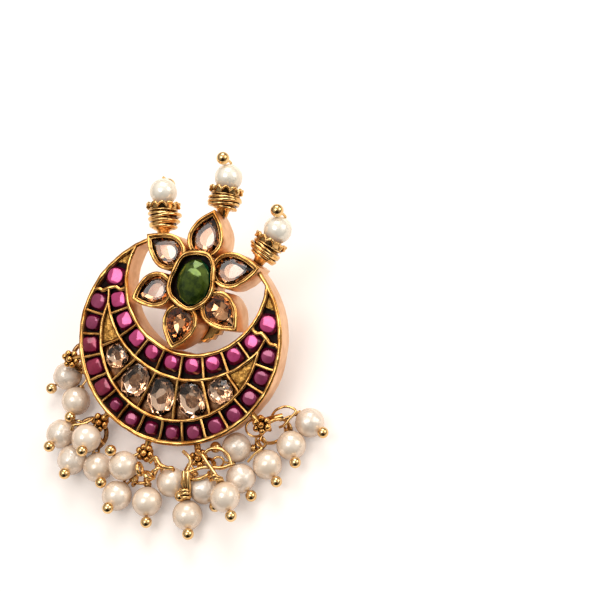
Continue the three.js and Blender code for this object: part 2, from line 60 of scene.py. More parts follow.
postEnd = next(mount for mount in frame["record"]["mounts"] if mount["name"] == "post_end")
lean = math.atan2(postEnd["axis"][1], -postEnd["axis"][2])
edgeHeight = crescent["radius"] * math.sin(lean) + crescent["thickness"] * math.cos(lean)
leanedBack = Matrix.Rotation(lean, 4, "X")
worn = (Matrix.Translation(postEnd["pos_m"]) @ Matrix.Scale(millimetre, 4) @ leanedBack
        @ Matrix.Translation((0, -post["y"], post["length"] - back)))
lying = worn @ leanedBack.inverted() @ Matrix.Translation((0, 0, -edgeHeight))


# less than this counts as none
nothing = 1e-4


def circlePoint(circle, angle, z=0.0):
    # angle is from straight down
    return Vector((circle["radius"] * math.sin(angle), circle["y"] - circle["radius"] * math.cos(angle), z))


def angleOn(circle, point):
    return math.atan2(point.x, circle["y"] - point.y)


def inset(circle, amount):
    return {"y": circle["y"], "radius": circle["radius"] + amount}


def arcPath(circle, start, end, step):
    count = max(2, round(abs(end - start) * circle["radius"] / step))
    return [circlePoint(circle, start + (end - start) * i / count) for i in range(count + 1)]


def crossing(a, b):
    # where two circles on the middle line cross, on the right
    y = (a["radius"] ** 2 - b["radius"] ** 2 + b["y"] ** 2 - a["y"] ** 2) / (2 * (b["y"] - a["y"]))
    return Vector((math.sqrt(a["radius"] ** 2 - (y - a["y"]) ** 2), y, 0))


def rayHit(fromY, angle, circle):
    along = Vector((math.sin(angle), -math.cos(angle), 0))
    start = Vector((0, fromY - circle["y"], 0))
    reach = start.dot(along)
    distance = math.sqrt(reach ** 2 - start.length_squared + circle["radius"] ** 2) - reach
    return Vector((0, fromY, 0)) + along * distance


def flipped(points):
    return [Vector((-point.x, point.y, point.z)) for point in points]


def ofKind(made, kind):
    return [item for item in made if isinstance(item, kind)]


def edgesOf(verts):
    # in the same order each time
    return list(dict.fromkeys(edge for vert in verts for edge in vert.link_edges))


def facesOf(verts):
    return list(dict.fromkeys(face for vert in verts for face in vert.link_faces))


def extrudeRing(bm, edges):
    # the new ring's points and edges, and the faces that lead up to it
    made = bmesh.ops.extrude_edge_only(bm, edges=edges)["geom"]
    verts = ofKind(made, bmesh.types.BMVert)
    fresh = set(verts)
    ringEdges = [edge for edge in ofKind(made, bmesh.types.BMEdge)
                 if edge.verts[0] in fresh and edge.verts[1] in fresh]
    return verts, ringEdges, ofKind(made, bmesh.types.BMFace)


def newFaces(bm, count, material):
    bm.faces.ensure_lookup_table()
    for face in bm.faces[count:]:
        face.material_index = material


# how far a section may be narrowed where its path bends most
leastMitre = 0.55


def placesAlong(points, closed, up):
    # a place for the section at each point; up keeps it upright, and without it the section turns as it must
    places = []
    across = None
    for i, point in enumerate(points):
        before = points[i - 1] if i > 0 or closed else point
        after = points[(i + 1) % len(points)] if i < len(points) - 1 or closed else point
        tangent = (after - before).normalized()
        if up is not None:
            across = tangent.cross(up).normalized()
        elif across is None:
            across = tangent.orthogonal().normalized()
        else:
            across = (across - tangent * across.dot(tangent)).normalized()
        wide = 1.0
        if before is not point and after is not point:
            bend = max(-1.0, min(1.0, (point - before).normalized().dot((after - point).normalized())))
            wide = 1 / max(leastMitre, math.sqrt((1 + bend) / 2))
        rise = across.cross(tangent)
        place = Matrix.Translation(point) @ Matrix((
            (across.x * wide, rise.x, tangent.x, 0),
            (across.y * wide, rise.y, tangent.y, 0),
            (across.z * wide, rise.z, tangent.z, 0),
            (0, 0, 0, 1)))
        places.append(place)
    return places


def sweep(bm, points, shape, closed=False, up=None, sides=12, material=0):
    # carries a section along a path; shape moves the section's round corners to their place
    faceCount = len(bm.faces)
    places = placesAlong(points, closed, up)
    ring = bmesh.ops.create_circle(bm, segments=sides, radius=1)["verts"]
    for vert in ring:
        vert.co.xy = shape(vert.co.x, vert.co.y)
    edges = edgesOf(ring)
    firstEdges = edges
    bmesh.ops.transform(bm, matrix=places[0], verts=ring)
    for before, after in zip(places, places[1:]):
        verts, edges, _ = extrudeRing(bm, edges)
        bmesh.ops.transform(bm, matrix=after @ before.inverted(), verts=verts)
    if closed:
        bmesh.ops.bridge_loops(bm, edges=firstEdges + edges)
    else:
        bmesh.ops.contextual_create(bm, geom=firstEdges)
        bmesh.ops.contextual_create(bm, geom=edges)
    newFaces(bm, faceCount, material)


def wire(radius):
    return lambda x, y: (x * radius, y * radius)


def strip(width, top, bottom, crown):
    # a strip set on edge, with a rounded top
    return lambda x, y: (x * width / 2, top - crown + crown * y if y > -nothing else bottom)


def outlineSolid(bm, points, bottom, top, material=0, topMaterial=None):
    faceCount = len(bm.faces)
    verts = [bm.verts.new((point.x, point.y, bottom)) for point in points]
    for a, b in zip(verts, verts[1:] + verts[:1]):
        bm.edges.new((a, b))
    face = bm.faces.new(verts)
    made = bmesh.ops.extrude_face_region(bm, geom=[face])["geom"]
    raised = ofKind(made, bmesh.types.BMVert)
    bmesh.ops.translate(bm, vec=(0, 0, top - bottom), verts=raised)
    # the face that was extruded stays as the bottom
    newFaces(bm, faceCount, material)
    if topMaterial is not None:
        for lid in ofKind(made, bmesh.types.BMFace):
            lid.material_index = topMaterial


def ball(bm, centre, radius, around, down, material=0):
    faceCount = len(bm.faces)
    place = Matrix.Translation(centre)
    bmesh.ops.create_uvsphere(bm, u_segments=around, v_segments=down, radius=radius, matrix=place)
    newFaces(bm, faceCount, material)


def roundAngles(count):
    return [2 * math.pi * i / count for i in range(count)]


def circleAround(centre, axis, radius, count):
    across = axis.orthogonal().normalized()
    other = axis.normalized().cross(across)
    return [centre + across * radius * math.cos(a) + other * radius * math.sin(a) for a in roundAngles(count)]


def smoothPath(points, perPiece):
    # a soft curve through the points
    path = []
    for i in range(len(points) - 1):
        p0 = points[max(i - 1, 0)]
        p1, p2 = points[i], points[i + 1]
        p3 = points[min(i + 2, len(points) - 1)]
        for k in range(perPiece):
            t = k / perPiece
            path.append(0.5 * (2 * p1 + (p2 - p0) * t + (2 * p0 - 5 * p1 + 4 * p2 - p3) * t ** 2
                               + (3 * p1 - 3 * p2 + p3 - p0) * t ** 3))
    path.append(points[-1].copy())
    return path


def roughen(bm, amount, size, seed):
    # hand work: every point wanders a little
    for vert in bm.verts:
        vert.co += noise.noise_vector(vert.co / size + Vector((seed, 0, 0))) * amount


def titled(name):
    # upper_left becomes upperLeft
    first, *rest = name.split("_")
    return first + "".join(word.capitalize() for word in rest)


def finishPiece(name, bm, place, materials, replaced, body="earring", sharp=40, merge=1e-3):
    # sharp is the least angle, in degrees, at which an edge shows
    bmesh.ops.remove_doubles(bm, verts=bm.verts, dist=merge)
    bmesh.ops.recalc_face_normals(bm, faces=bm.faces)
    bmesh.ops.transform(bm, matrix=place, verts=bm.verts)
    limit = math.radians(sharp)
    for face in bm.faces:
        face.smooth = True
    for edge in bm.edges:
        edge.smooth = not (len(edge.link_faces) == 2 and edge.calc_face_angle(0) > limit)
    mesh = bpy.data.meshes.new(name)
    bm.to_mesh(mesh)
    bm.free()
    for material in materials:
        mesh.materials.append(material)
    piece = bpy.data.objects.new(name, mesh)
    bpy.context.collection.objects.link(piece)
    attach(piece, body)
    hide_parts(*replaced)
    return piece


print("earring: materials")


def effectGroup(name, inputs, outputs):
    group = bpy.data.node_groups.new(name, "ShaderNodeTree")
    for socketName, kind, value in inputs:
        socket = group.interface.new_socket(name=socketName, in_out="INPUT", socket_type=kind)
        if value is not None:
            socket.default_value = value
    for socketName, kind in outputs:
        group.interface.new_socket(name=socketName, in_out="OUTPUT", socket_type=kind)
    start = group.nodes.new("NodeGroupInput")
    end = group.nodes.new("NodeGroupOutput")
    return group, start, end


def feed(tree, value, socket):
    # the value is a constant or another node's output
    if isinstance(value, bpy.types.NodeSocket):
        tree.links.new(value, socket)
    else:
        socket.default_value = value


def noiseNode(tree, vector, scale, detail, rough):
    node = tree.nodes.new("ShaderNodeTexNoise")
    for socket, value in (("Vector", vector), ("Scale", scale), ("Detail", detail), ("Roughness", rough)):
        feed(tree, value, node.inputs[socket])
    return node.outputs["Fac"]


def rangeNode(tree, value, low, high, toLow, toHigh):
    node = tree.nodes.new("ShaderNodeMapRange")
    names = ("Value", "From Min", "From Max", "To Min", "To Max")
    for name, amount in zip(names, (value, low, high, toLow, toHigh)):
        feed(tree, amount, node.inputs[name])
    return node.outputs["Result"]


def mixNode(tree, share, first, second, blend="MIX"):
    node = tree.nodes.new("ShaderNodeMix")
    node.data_type = "RGBA"
    node.blend_type = blend
    # a mix node's colours are its inputs 6 and 7, and its output 2
    for index, value in ((0, share), (6, first), (7, second)):
        feed(tree, value, node.inputs[index])
    return node.outputs[2]


# the noise values between which the patches change
tintEdges = {"colour": (0.38, 0.66), "roughness": (0.3, 0.7)}


def buildTintEffect():
    # two colours in soft patches, with a roughness that follows them; Scale is patches for each metre
    group, start, end = effectGroup("unevenTint", [
        ("Vector", "NodeSocketVector", None),
        ("Light Colour", "NodeSocketColor", (0.8, 0.6, 0.3, 1)),
        ("Dark Colour", "NodeSocketColor", (0.4, 0.2, 0.1, 1)),
        ("Scale", "NodeSocketFloat", 900.0),
        ("Smooth", "NodeSocketFloat", 0.15),
        ("Rough", "NodeSocketFloat", 0.35),
    ], [("Color", "NodeSocketColor"), ("Roughness", "NodeSocketFloat")])
    patches = noiseNode(group, start.outputs["Vector"], start.outputs["Scale"], 4.0, 0.6)
    amount = rangeNode(group, patches, *tintEdges["colour"], 0.0, 1.0)
    colour = mixNode(group, amount, start.outputs["Light Colour"], start.outputs["Dark Colour"])
    group.links.new(colour, end.inputs["Color"])
    rough = rangeNode(group, patches, *tintEdges["roughness"], start.outputs["Smooth"], start.outputs["Rough"])
    group.links.new(rough, end.inputs["Roughness"])
    return group


def buildReliefEffect():
    # fine lumps and dents; Height is in metres
    group, start, end = effectGroup("fineRelief", [
        ("Vector", "NodeSocketVector", None),
        ("Scale", "NodeSocketFloat", 2500.0),
        ("Strength", "NodeSocketFloat", 0.5),
        ("Height", "NodeSocketFloat", 0.0001),
    ], [("Normal", "NodeSocketVector")])
    lumps = noiseNode(group, start.outputs["Vector"], start.outputs["Scale"], 3.0, 0.55)
    bump = group.nodes.new("ShaderNodeBump")
    group.links.new(lumps, bump.inputs["Height"])
    group.links.new(start.outputs["Strength"], bump.inputs["Strength"])
    group.links.new(start.outputs["Height"], bump.inputs["Distance"])
    group.links.new(bump.outputs["Normal"], end.inputs["Normal"])
    return group


tintEffect = buildTintEffect()
reliefEffect = buildReliefEffect()


def startMaterial(name):
    material = bpy.data.materials.new(name)
    material.use_nodes = True
    tree = material.node_tree
    return material, tree, tree.nodes["Principled BSDF"]


def objectCoordinates(tree):
    return tree.nodes.new("ShaderNodeTexCoord").outputs["Object"]


def addEffect(tree, effect, vector, values):
    node = tree.nodes.new("ShaderNodeGroup")
    node.node_tree = effect
    tree.links.new(vector, node.inputs["Vector"])
    for name, value in values.items():
        node.inputs[name].default_value = value
    return node


# how open a corner is where its patina and painted shade are full, and where they are gone
cornerEdges = (0.45, 0.92)


def metalMaterial(name, light, dark, smooth, rough, tintScale=900.0, reliefScale=2500.0, relief=0.35,
                  height=0.00008, metallic=1.0, patinaAndShade=None, reach=0.0007):
    material, tree, shader = startMaterial(name)
    vector = objectCoordinates(tree)
    tint = addEffect(tree, tintEffect, vector, {
        "Light Colour": (*light, 1), "Dark Colour": (*dark, 1), "Scale": tintScale,
        "Smooth": smooth, "Rough": rough})
    bumps = addEffect(tree, reliefEffect, vector, {"Scale": reliefScale, "Strength": relief, "Height": height})
    colour = tint.outputs["Color"]
    if patinaAndShade is not None:
        # dark in the corners: patina where polishing does not reach, and painted shade where the corners are closed
        # in
        corner = tree.nodes.new("ShaderNodeAmbientOcclusion")
        corner.samples = 8
        corner.inputs["Distance"].default_value = reach
        polishedAndLit = rangeNode(tree, corner.outputs["AO"], *cornerEdges, 0.0, 1.0)
        colour = mixNode(tree, polishedAndLit, (*patinaAndShade, 1), colour)
    tree.links.new(colour, shader.inputs["Base Color"])
    tree.links.new(tint.outputs["Roughness"], shader.inputs["Roughness"])
    tree.links.new(bumps.outputs["Normal"], shader.inputs["Normal"])
    shader.inputs["Metallic"].default_value = metallic
    return material


def stoneMaterial(name, light, dark, metallic, roughness, coat, transmission=0.0, ior=1.5, tintScale=500.0):
    material, tree, shader = startMaterial(name)
    tint = addEffect(tree, tintEffect, objectCoordinates(tree), {
        "Light Colour": (*light, 1), "Dark Colour": (*dark, 1), "Scale": tintScale,
        "Smooth": roughness, "Rough": roughness * 1.6})
    tree.links.new(tint.outputs["Color"], shader.inputs["Base Color"])
    tree.links.new(tint.outputs["Roughness"], shader.inputs["Roughness"])
    shader.inputs["Metallic"].default_value = metallic
    shader.inputs["Coat Weight"].default_value = coat
    shader.inputs["Coat Roughness"].default_value = 0.03
    shader.inputs["Transmission Weight"].default_value = transmission
    shader.inputs["IOR"].default_value = ior
    return material


def foilMaterial(name, colour, roughness):
    material, _, shader = startMaterial(name)
    shader.inputs["Base Color"].default_value = (*colour, 1)
    shader.inputs["Metallic"].default_value = 1.0
    shader.inputs["Roughness"].default_value = roughness
    return material


pearlSkin = {"smooth": {"Scale": 450.0, "Strength": 0.28, "Height": 0.0002},
             "pitted": {"Scale": 900.0, "Strength": 0.6, "Height": 0.0003}}


def pearlMaterial(name, light, dark, skin, edgeReflection=(0.80, 0.54, 0.34)):
    material, tree, shader = startMaterial(name)
    coordinates = objectCoordinates(tree)
    tint = addEffect(tree, tintEffect, coordinates, {
        "Light Colour": (*light, 1), "Dark Colour": (*dark, 1), "Scale": 260.0, "Smooth": 0.2, "Rough": 0.34})
    bumps = addEffect(tree, reliefEffect, coordinates, pearlSkin[skin])
    # warmer towards the edge: a painted reflection of the warm things round the pearl
    edge = tree.nodes.new("ShaderNodeLayerWeight")
    edge.inputs["Blend"].default_value = 0.35
    colour = mixNode(tree, edge.outputs["Facing"], tint.outputs["Color"], (*edgeReflection, 1))
    tree.links.new(colour, shader.inputs["Base Color"])
    tree.links.new(tint.outputs["Roughness"], shader.inputs["Roughness"])
    tree.links.new(bumps.outputs["Normal"], shader.inputs["Normal"])
    shader.inputs["Metallic"].default_value = 0.18
    shader.inputs["Coat Weight"].default_value = 1.0
    shader.inputs["Coat IOR"].default_value = 1.75
    shader.inputs["Coat Roughness"].default_value = 0.17
    return material


# near black for the corners of the gold: patina and painted shade
patinaAndShade = (0.05, 0.016, 0.004)
gold = metalMaterial("antiqueGold", (1.0, 0.58, 0.19), (0.46, 0.18, 0.035), 0.09, 0.24, tintScale=420.0,
                     reliefScale=1300.0, relief=0.22, patinaAndShade=patinaAndShade)
sideGold = metalMaterial("satinSideGold", (0.95, 0.62, 0.37), (0.76, 0.44, 0.23), 0.30, 0.40, tintScale=350.0,
                         reliefScale=1200.0, relief=0.12)
# near black with little shine: painted shade on the floors of the cells and under the middle stone
recessShade = metalMaterial("paintedShadeRecess", (0.02, 0.006, 0.004), (0.004, 0.001, 0.001), 0.3, 0.6, metallic=0.0)
recessShade.node_tree.nodes["Principled BSDF"].inputs["Specular IOR Level"].default_value = 0.08
bandFloor = metalMaterial("bandFloorGold", (0.62, 0.36, 0.20), (0.30, 0.14, 0.07), 0.22, 0.4, tintScale=1500.0,
                          patinaAndShade=patinaAndShade, reach=0.0012)
fillerGold = metalMaterial("matteFillerGold", (0.78, 0.42, 0.10), (0.25, 0.10, 0.02), 0.24, 0.5,
                           tintScale=1800.0, reliefScale=1900.0, relief=0.9, height=0.0003, patinaAndShade=patinaAndShade)
wireGold = metalMaterial("brightWireGold", (1.0, 0.68, 0.29), (0.78, 0.42, 0.13), 0.08, 0.22, relief=0.15,
                         patinaAndShade=(0.16, 0.055, 0.012), reach=0.0005)
ballGold = metalMaterial("polishedBallGold", (0.95, 0.68, 0.34), (0.86, 0.55, 0.22), 0.06, 0.13, relief=0.06)
# gold darkened to brown: painted shade for the jump rings that lie in the pearls' shadow
shadedRingGold = metalMaterial("shadedJumpRing", (0.46, 0.25, 0.10), (0.22, 0.11, 0.04), 0.16, 0.34, patinaAndShade=patinaAndShade)
magenta = stoneMaterial("magentaStone", (0.60, 0.055, 0.23), (0.42, 0.025, 0.13), 0.45, 0.05, 0.7)
# the magenta made darker and duller for the outer row: painted shade for stones that catch less light
mauve = stoneMaterial("mauveStone", (0.33, 0.045, 0.13), (0.22, 0.02, 0.075), 0.35, 0.06, 0.5)
deepRed = stoneMaterial("deepRedStone", (0.30, 0.012, 0.055), (0.12, 0.004, 0.02), 0.35, 0.08, 0.5)
# the stones' sides: the glass's deep colour, made darker still with painted shade
magentaSide = stoneMaterial("magentaStoneSide", (0.15, 0.003, 0.035), (0.02, 0.0005, 0.005), 0.3, 0.12, 0.1)
champagneCrown = stoneMaterial("champagneCrown", (1.0, 0.95, 0.90), (0.98, 0.91, 0.84), 0.0, 0.02, 0.0,
                               transmission=1.0, ior=1.52)
champagneFoil = foilMaterial("champagneFoil", (0.97, 0.73, 0.56), 0.06)
brownFoil = foilMaterial("brownFoil", (0.62, 0.32, 0.16), 0.07)
tawnyFoil = foilMaterial("tawnyFoil", (0.80, 0.46, 0.25), 0.09)
champagneClear = stoneMaterial("clearPetalStone", (0.97, 0.91, 0.84), (0.92, 0.80, 0.69), 0.0, 0.02, 0.0,
                               transmission=1.0, ior=1.52)
green = stoneMaterial("greenStone", (0.11, 0.17, 0.015), (0.02, 0.045, 0.006), 0.6, 0.05, 0.35, tintScale=620.0)
# a bluer green for the side facets: painted light for the colour the stone shows at its edge
greenEdge = stoneMaterial("greenStoneEdge", (0.02, 0.20, 0.08), (0.004, 0.03, 0.01), 0.6, 0.08, 0.2)
pearlWhite = pearlMaterial("whitePearl", (1.0, 0.97, 0.87), (0.98, 0.91, 0.77), "smooth", (0.90, 0.72, 0.48))
# the drop pearls are darker and warmer than the white finial pearls: painted shade for pearls lying close together
pearlSmooth = pearlMaterial("smoothPearl", (0.96, 0.86, 0.74), (0.86, 0.71, 0.55), "smooth")
pearlPitted = pearlMaterial("pittedPearl", (0.94, 0.86, 0.76), (0.78, 0.66, 0.54), "pitted")


print("earring: crescent")

band = {"inner": {"y": 8.0, "radius": 13.9}, "outer": {"y": 0.2, "radius": 12.5}, "wall": 0.52, "top": -0.04,
        "crown": 0.2, "floorLift": 0.03, "rimEnd": 145.5}
# walls start this far under the floor
sunk = 0.1
cellDivider = {"width": 0.42, "top": -0.08, "crown": 0.18, "bow": 0.1, "bowNoise": (0.37, 1.3), "wavyWidth": 0.6,
               "wavyCrown": 0.24, "spikeEnd": 0.92}
outerRow = {"count": 15, "step": 13.75, "ring": 14.05}
innerRow = {"count": 9, "step": 15.3, "ring": 12.55}
middleRow = {"y": 4, "count": 5, "step": 21}
hornDivider = [(15.4, 2.9), (14.7, 3.4), (13.8, 3.35), (13.0, 3.95), (12.1, 4.45), (11.2, 4.3), (10.2, 4.95)]
# the gaps are angles in radians that keep a filler clear of its walls
filler = {"height": -0.4, "hornStart": 122, "hornFootX": 11.25, "hornFootY": 8.3, "step": 0.8, "rimGap": 0.03,
          "hollowGap": 0.05, "innerGap": 0.02, "bevel": 0.08}
wobble = {"amount": 0.09, "size": 1.1}
# faces steeper and lower than this take the satin side gold
crescentSides = {"steep": 0.3, "below": -0.9}

crescentCircle = {"y": 0, "radius": crescent["radius"]}
rimMiddle = inset(crescentCircle, -crescent["rim"] / 2)
rimInside = inset(crescentCircle, -crescent["rim"])
hollowMiddle = inset(hollow, hollow["rim"] / 2)
hollowOutside = inset(hollow, hollow["rim"])
bandTip = crossing(band["outer"], band["inner"])
floorZ = -crescent["cellDepth"]
upright = Vector((0, 0, 1))


def dividerPath(start, end, seed):
    # a straight wall that was bent a little by hand
    side = Vector((start.y - end.y, end.x - start.x, 0)).normalized()
    noiseStep, noiseRow = cellDivider["bowNoise"]
    bow = cellDivider["bow"] * noise.noise(Vector((seed * noiseStep, noiseRow, 0)))
    return [start.lerp(end, t) + side * bow * math.sin(math.pi * t) for t in (0, 0.25, 0.5, 0.75, 1)]


def lune(outer, inner, step):
    # the outline between two circles that cross
    tip = crossing(outer, inner)
    outerEnd, innerEnd = angleOn(outer, tip), angleOn(inner, tip)
    return arcPath(outer, -outerEnd, outerEnd, step) + arcPath(inner, innerEnd, -innerEnd, step)[1:-1]


def satinSides(bm, steep, below):
    for face in bm.faces:
        if face.material_index == 0 and abs(face.normal.z) < steep and face.calc_center_median().z < below:
            face.material_index = 1


def makeRims(bm, step):
    # the rim round the outside runs on to the petals' tips; the rim round the hollow ends at the horns
    outerEnd = math.radians(band["rimEnd"])
    innerEnd = angleOn(hollow, crossing(rimMiddle, hollowMiddle))
    for circle, end, width in ((rimMiddle, outerEnd, crescent["rim"]), (hollowMiddle, innerEnd, hollow["rim"])):
        sweep(bm, arcPath(circle, -end, end, step), strip(width, 0, back, crescent["rimCrown"]), up=upright,
              sides=16)


def makeDividers(bm):
    divide = strip(cellDivider["width"], cellDivider["top"], floorZ - sunk, cellDivider["crown"])

    def straight(start, end, seed):
        sweep(bm, dividerPath(start, end, seed), divide, up=upright)
    # each row has seeds of its own
    for i in range(2 - outerRow["count"], outerRow["count"], 2):
        angle = math.radians(i * outerRow["step"] / 2)
        straight(rayHit(0, angle, band["outer"]), circlePoint(rimMiddle, angle), i)
    for i in range(2 - innerRow["count"], innerRow["count"], 2):
        angle = math.radians(i * innerRow["step"] / 2)
        straight(circlePoint(hollowMiddle, angle), rayHit(hollow["y"], angle, band["inner"]), i + 40)
    for i in range(-middleRow["count"], middleRow["count"] + 1, 2):
        angle = math.radians(i * middleRow["step"] / 2)
        straight(rayHit(middleRow["y"], angle, band["inner"]), rayHit(middleRow["y"], angle, band["outer"]), i + 80)
    # the wavy divider under each horn, and the spike from the band's tip up to it
    wavy = smoothPath([Vector((x, y, 0)) for x, y in hornDivider], 4)
    join = wavy[len(wavy) // 2]
    spike = [bandTip.copy(), bandTip.lerp(join, 0.5), bandTip.lerp(join, cellDivider["spikeEnd"])]
    thick = strip(cellDivider["wavyWidth"], cellDivider["top"], floorZ - sunk, cellDivider["wavyCrown"])
    for path, shape in ((wavy, thick), (spike, divide)):
        sweep(bm, path, shape, up=upright)
        sweep(bm, flipped(path), shape, up=upright)


def makeCrescent():
    bm = bmesh.new()
    step = crescent["arcStep"]
    makeRims(bm, step)
    plate = lune(inset(crescentCircle, -crescent["plateInset"]), inset(hollow, crescent["plateInset"]), step)
    # the plate's top, the floor of the cells, is in painted shade
    outlineSolid(bm, plate, back + crescent["plateLift"], floorZ, material=1, topMaterial=2)
    # the middle band's brighter floor and its walls
    bandFloorOutline = lune(band["outer"], band["inner"], step)
    outlineSolid(bm, bandFloorOutline, floorZ - sunk, floorZ + band["floorLift"], material=3)
    wall = strip(band["wall"], band["top"], floorZ - sunk, band["crown"])
    for circle in (band["inner"], band["outer"]):
        end = angleOn(circle, bandTip)
        sweep(bm, arcPath(circle, -end, end, step), wall, up=upright, sides=14)
    makeDividers(bm)
    roughen(bm, wobble["amount"], wobble["size"], 3)
    satinSides(bm, crescentSides["steep"], crescentSides["below"])
    finishPiece("crescentFrame", bm, worn, (gold, sideGold, recessShade, bandFloor), ["setting"], sharp=50)


def makeFillers():
    bm = bmesh.new()
    step = filler["step"]
    top = crossing(rimInside, hollowOutside)
    foot = Vector((filler["hornFootX"], filler["hornFootY"], 0))
    horn = (arcPath(rimInside, math.radians(filler["hornStart"]), angleOn(rimInside, top) - filler["rimGap"], step)
            + arcPath(hollowOutside, angleOn(hollowOutside, top) - filler["hollowGap"],
                      angleOn(hollowOutside, foot), step))
    inner = inset(band["inner"], band["wall"] / 2)
    outer = inset(band["outer"], -band["wall"] / 2)
    start = math.radians(middleRow["count"] * middleRow["step"] / 2) + filler["innerGap"]
    tip = crossing(outer, inner)
    startOuter = rayHit(middleRow["y"], start, outer)
    startInner = rayHit(middleRow["y"], start, inner)
    corner = (arcPath(outer, angleOn(outer, startOuter), angleOn(outer, tip) - filler["rimGap"], step)
              + arcPath(inner, angleOn(inner, tip) - filler["innerGap"], angleOn(inner, startInner), step))
    for outline in (horn, flipped(horn), corner, flipped(corner)):
        outlineSolid(bm, outline, floorZ - sunk / 2, filler["height"])
    bmesh.ops.bevel(bm, geom=list(bm.edges), offset=filler["bevel"], segments=2, profile=0.5, affect="EDGES",
                    material=-1)
    finishPiece("crescentFillers", bm, worn, (fillerGold,), ["setting"])


makeCrescent()
makeFillers()


print("earring: stones")

# square is the power of the outline: 2 is round, and more is squarer
magentaCut = {"girdle": 1.4, "top": -0.2, "edge": -0.75, "shoulder": 0.07, "skirt": 0.5, "dome": 0.07,
              "rimDepth": 0.06, "square": 3.0, "overTable": 0.32, "shift": 0.08, "tilt": 4, "outerShift": 0.15,
              "steps": 28}
# half the width of each row's tables, from left to right
outerTables = [1.05, 0.95, 1.05, 1.1, 1.1, 0.68, 0.82, 0.74, 0.80, 0.9, 0.95, 0.95, 0.95, 0.95, 0.95]
innerTables = [1.05, 1.05, 1.05, 0.95, 0.92, 0.95, 0.95, 0.95, 0.92]
hornStone = {"x": 12.6, "y": 6.0, "radius": 1.5, "table": 1.15}
# the materials' order in the piece
brightTone, mauveTone, deepTone, sideTone = range(4)
# each stone's squareness, and in the outer row its tone: rounded mauve, square deep red, then round mauve
outerCuts = [(2.4, mauveTone)] * 2 + [(5.0, deepTone)] * 3 + [(2.1, mauveTone)] * 10
innerCuts = [4.0] * 3 + [2.2] * 6
stoneSeeds = {"outer": 100, "inner": 200, "horn": 300}


def superRound(x, y, power):
    size = math.hypot(x, y)
    cx, cy = abs(x) / size, abs(y) / size
    grow = (cx ** power + cy ** power) ** (-1 / power)
    return x * grow, y * grow


def magentaStone(bm, centre, angle, girdle, tableSize, seed, square=2.2, tone=brightTone):
    draw = random.Random(seed)
    shift, tilt = magentaCut["shift"], magentaCut["tilt"]
    depth = magentaCut["top"] - magentaCut["edge"]
    place = (Matrix.Translation(centre + Vector((draw.uniform(-shift, shift), draw.uniform(-shift, shift), 0)))
             @ Matrix.Rotation(angle, 4, "Z")
             @ Matrix.Rotation(math.radians(draw.uniform(-tilt, tilt)), 4, "X")
             @ Matrix.Rotation(math.radians(draw.uniform(-tilt, tilt)), 4, "Y"))
    verts = bmesh.ops.create_cone(bm, cap_ends=True, segments=magentaCut["steps"], radius1=girdle,
                                  radius2=tableSize, depth=depth)["verts"]
    for vert in verts:
        vert.co.xy = superRound(vert.co.x, vert.co.y, magentaCut["square"] if vert.co.z < 0 else square)
    lower = next(face for face in facesOf(verts) if all(vert.co.z < 0 for vert in face.verts))
    upper = next(face for face in facesOf(verts) if all(vert.co.z > 0 for vert in face.verts))
    tableEdges = list(upper.edges)
    skirt = ofKind(bmesh.ops.extrude_face_region(bm, geom=[lower])["geom"], bmesh.types.BMVert)
    bmesh.ops.translate(bm, vec=(0, 0, -magentaCut["skirt"]), verts=skirt)
    if lower.is_valid:
        bmesh.ops.delete(bm, geom=[lower], context="FACES_ONLY")
    beveled = bmesh.ops.bevel(bm, geom=tableEdges, offset=magentaCut["shoulder"], segments=3, profile=0.5,
                              affect="EDGES", material=-1)["verts"]
    everyVert = list(dict.fromkeys([vert for vert in verts if vert.is_valid] + skirt + list(beveled)))
    # the table is a shallow dome
    table = max(facesOf(everyVert), key=lambda face: face.calc_center_median().z)
    crown = list(bmesh.ops.poke(bm, faces=[table])["verts"])
    for vert in crown:
        vert.co.z += magentaCut["dome"]
    everyVert += crown
    # the table takes its tone and the sides take the darker copy, which is painted shade
    for face in facesOf(everyVert):
        onTable = face.calc_center_median().z > depth / 2 - magentaCut["rimDepth"]
        face.material_index = tone if onTable else sideTone
    bmesh.ops.translate(bm, vec=(0, 0, magentaCut["edge"] + depth / 2), verts=everyVert)
    bmesh.ops.transform(bm, matrix=place, verts=everyVert)


def makeMagentaStones():
    bm = bmesh.new()
    for i, (table, (square, tone)) in enumerate(zip(outerTables, outerCuts)):
        angle = math.radians((i - (outerRow["count"] - 1) / 2) * outerRow["step"])
        centre = circlePoint({"y": 0, "radius": outerRow["ring"] + magentaCut["outerShift"]}, angle)
        girdle = min(magentaCut["girdle"], table + magentaCut["overTable"])
        magentaStone(bm, centre, angle, girdle, table, i + stoneSeeds["outer"], square, tone)
    for i, (table, square) in enumerate(zip(innerTables, innerCuts)):
        angle = math.radians((i - (innerRow["count"] - 1) / 2) * innerRow["step"])
        centre = circlePoint({"y": hollow["y"], "radius": innerRow["ring"]}, angle)
        magentaStone(bm, centre, angle, magentaCut["girdle"], table, i + stoneSeeds["inner"], square)
    for side in (-1, 1):
        centre = Vector((side * hornStone["x"], hornStone["y"], 0))
        magentaStone(bm, centre, 0, hornStone["radius"], hornStone["table"], side + stoneSeeds["horn"])
    finishPiece("magentaStones", bm, worn, (magenta, mauve, deepRed, magentaSide), ["setting"], sharp=24)


# angles in degrees that leave every facet's edge sharp, and none
allFacets, noEdges = 2, 180
# heights closer than this are one level of a stone
levelGap = 0.01


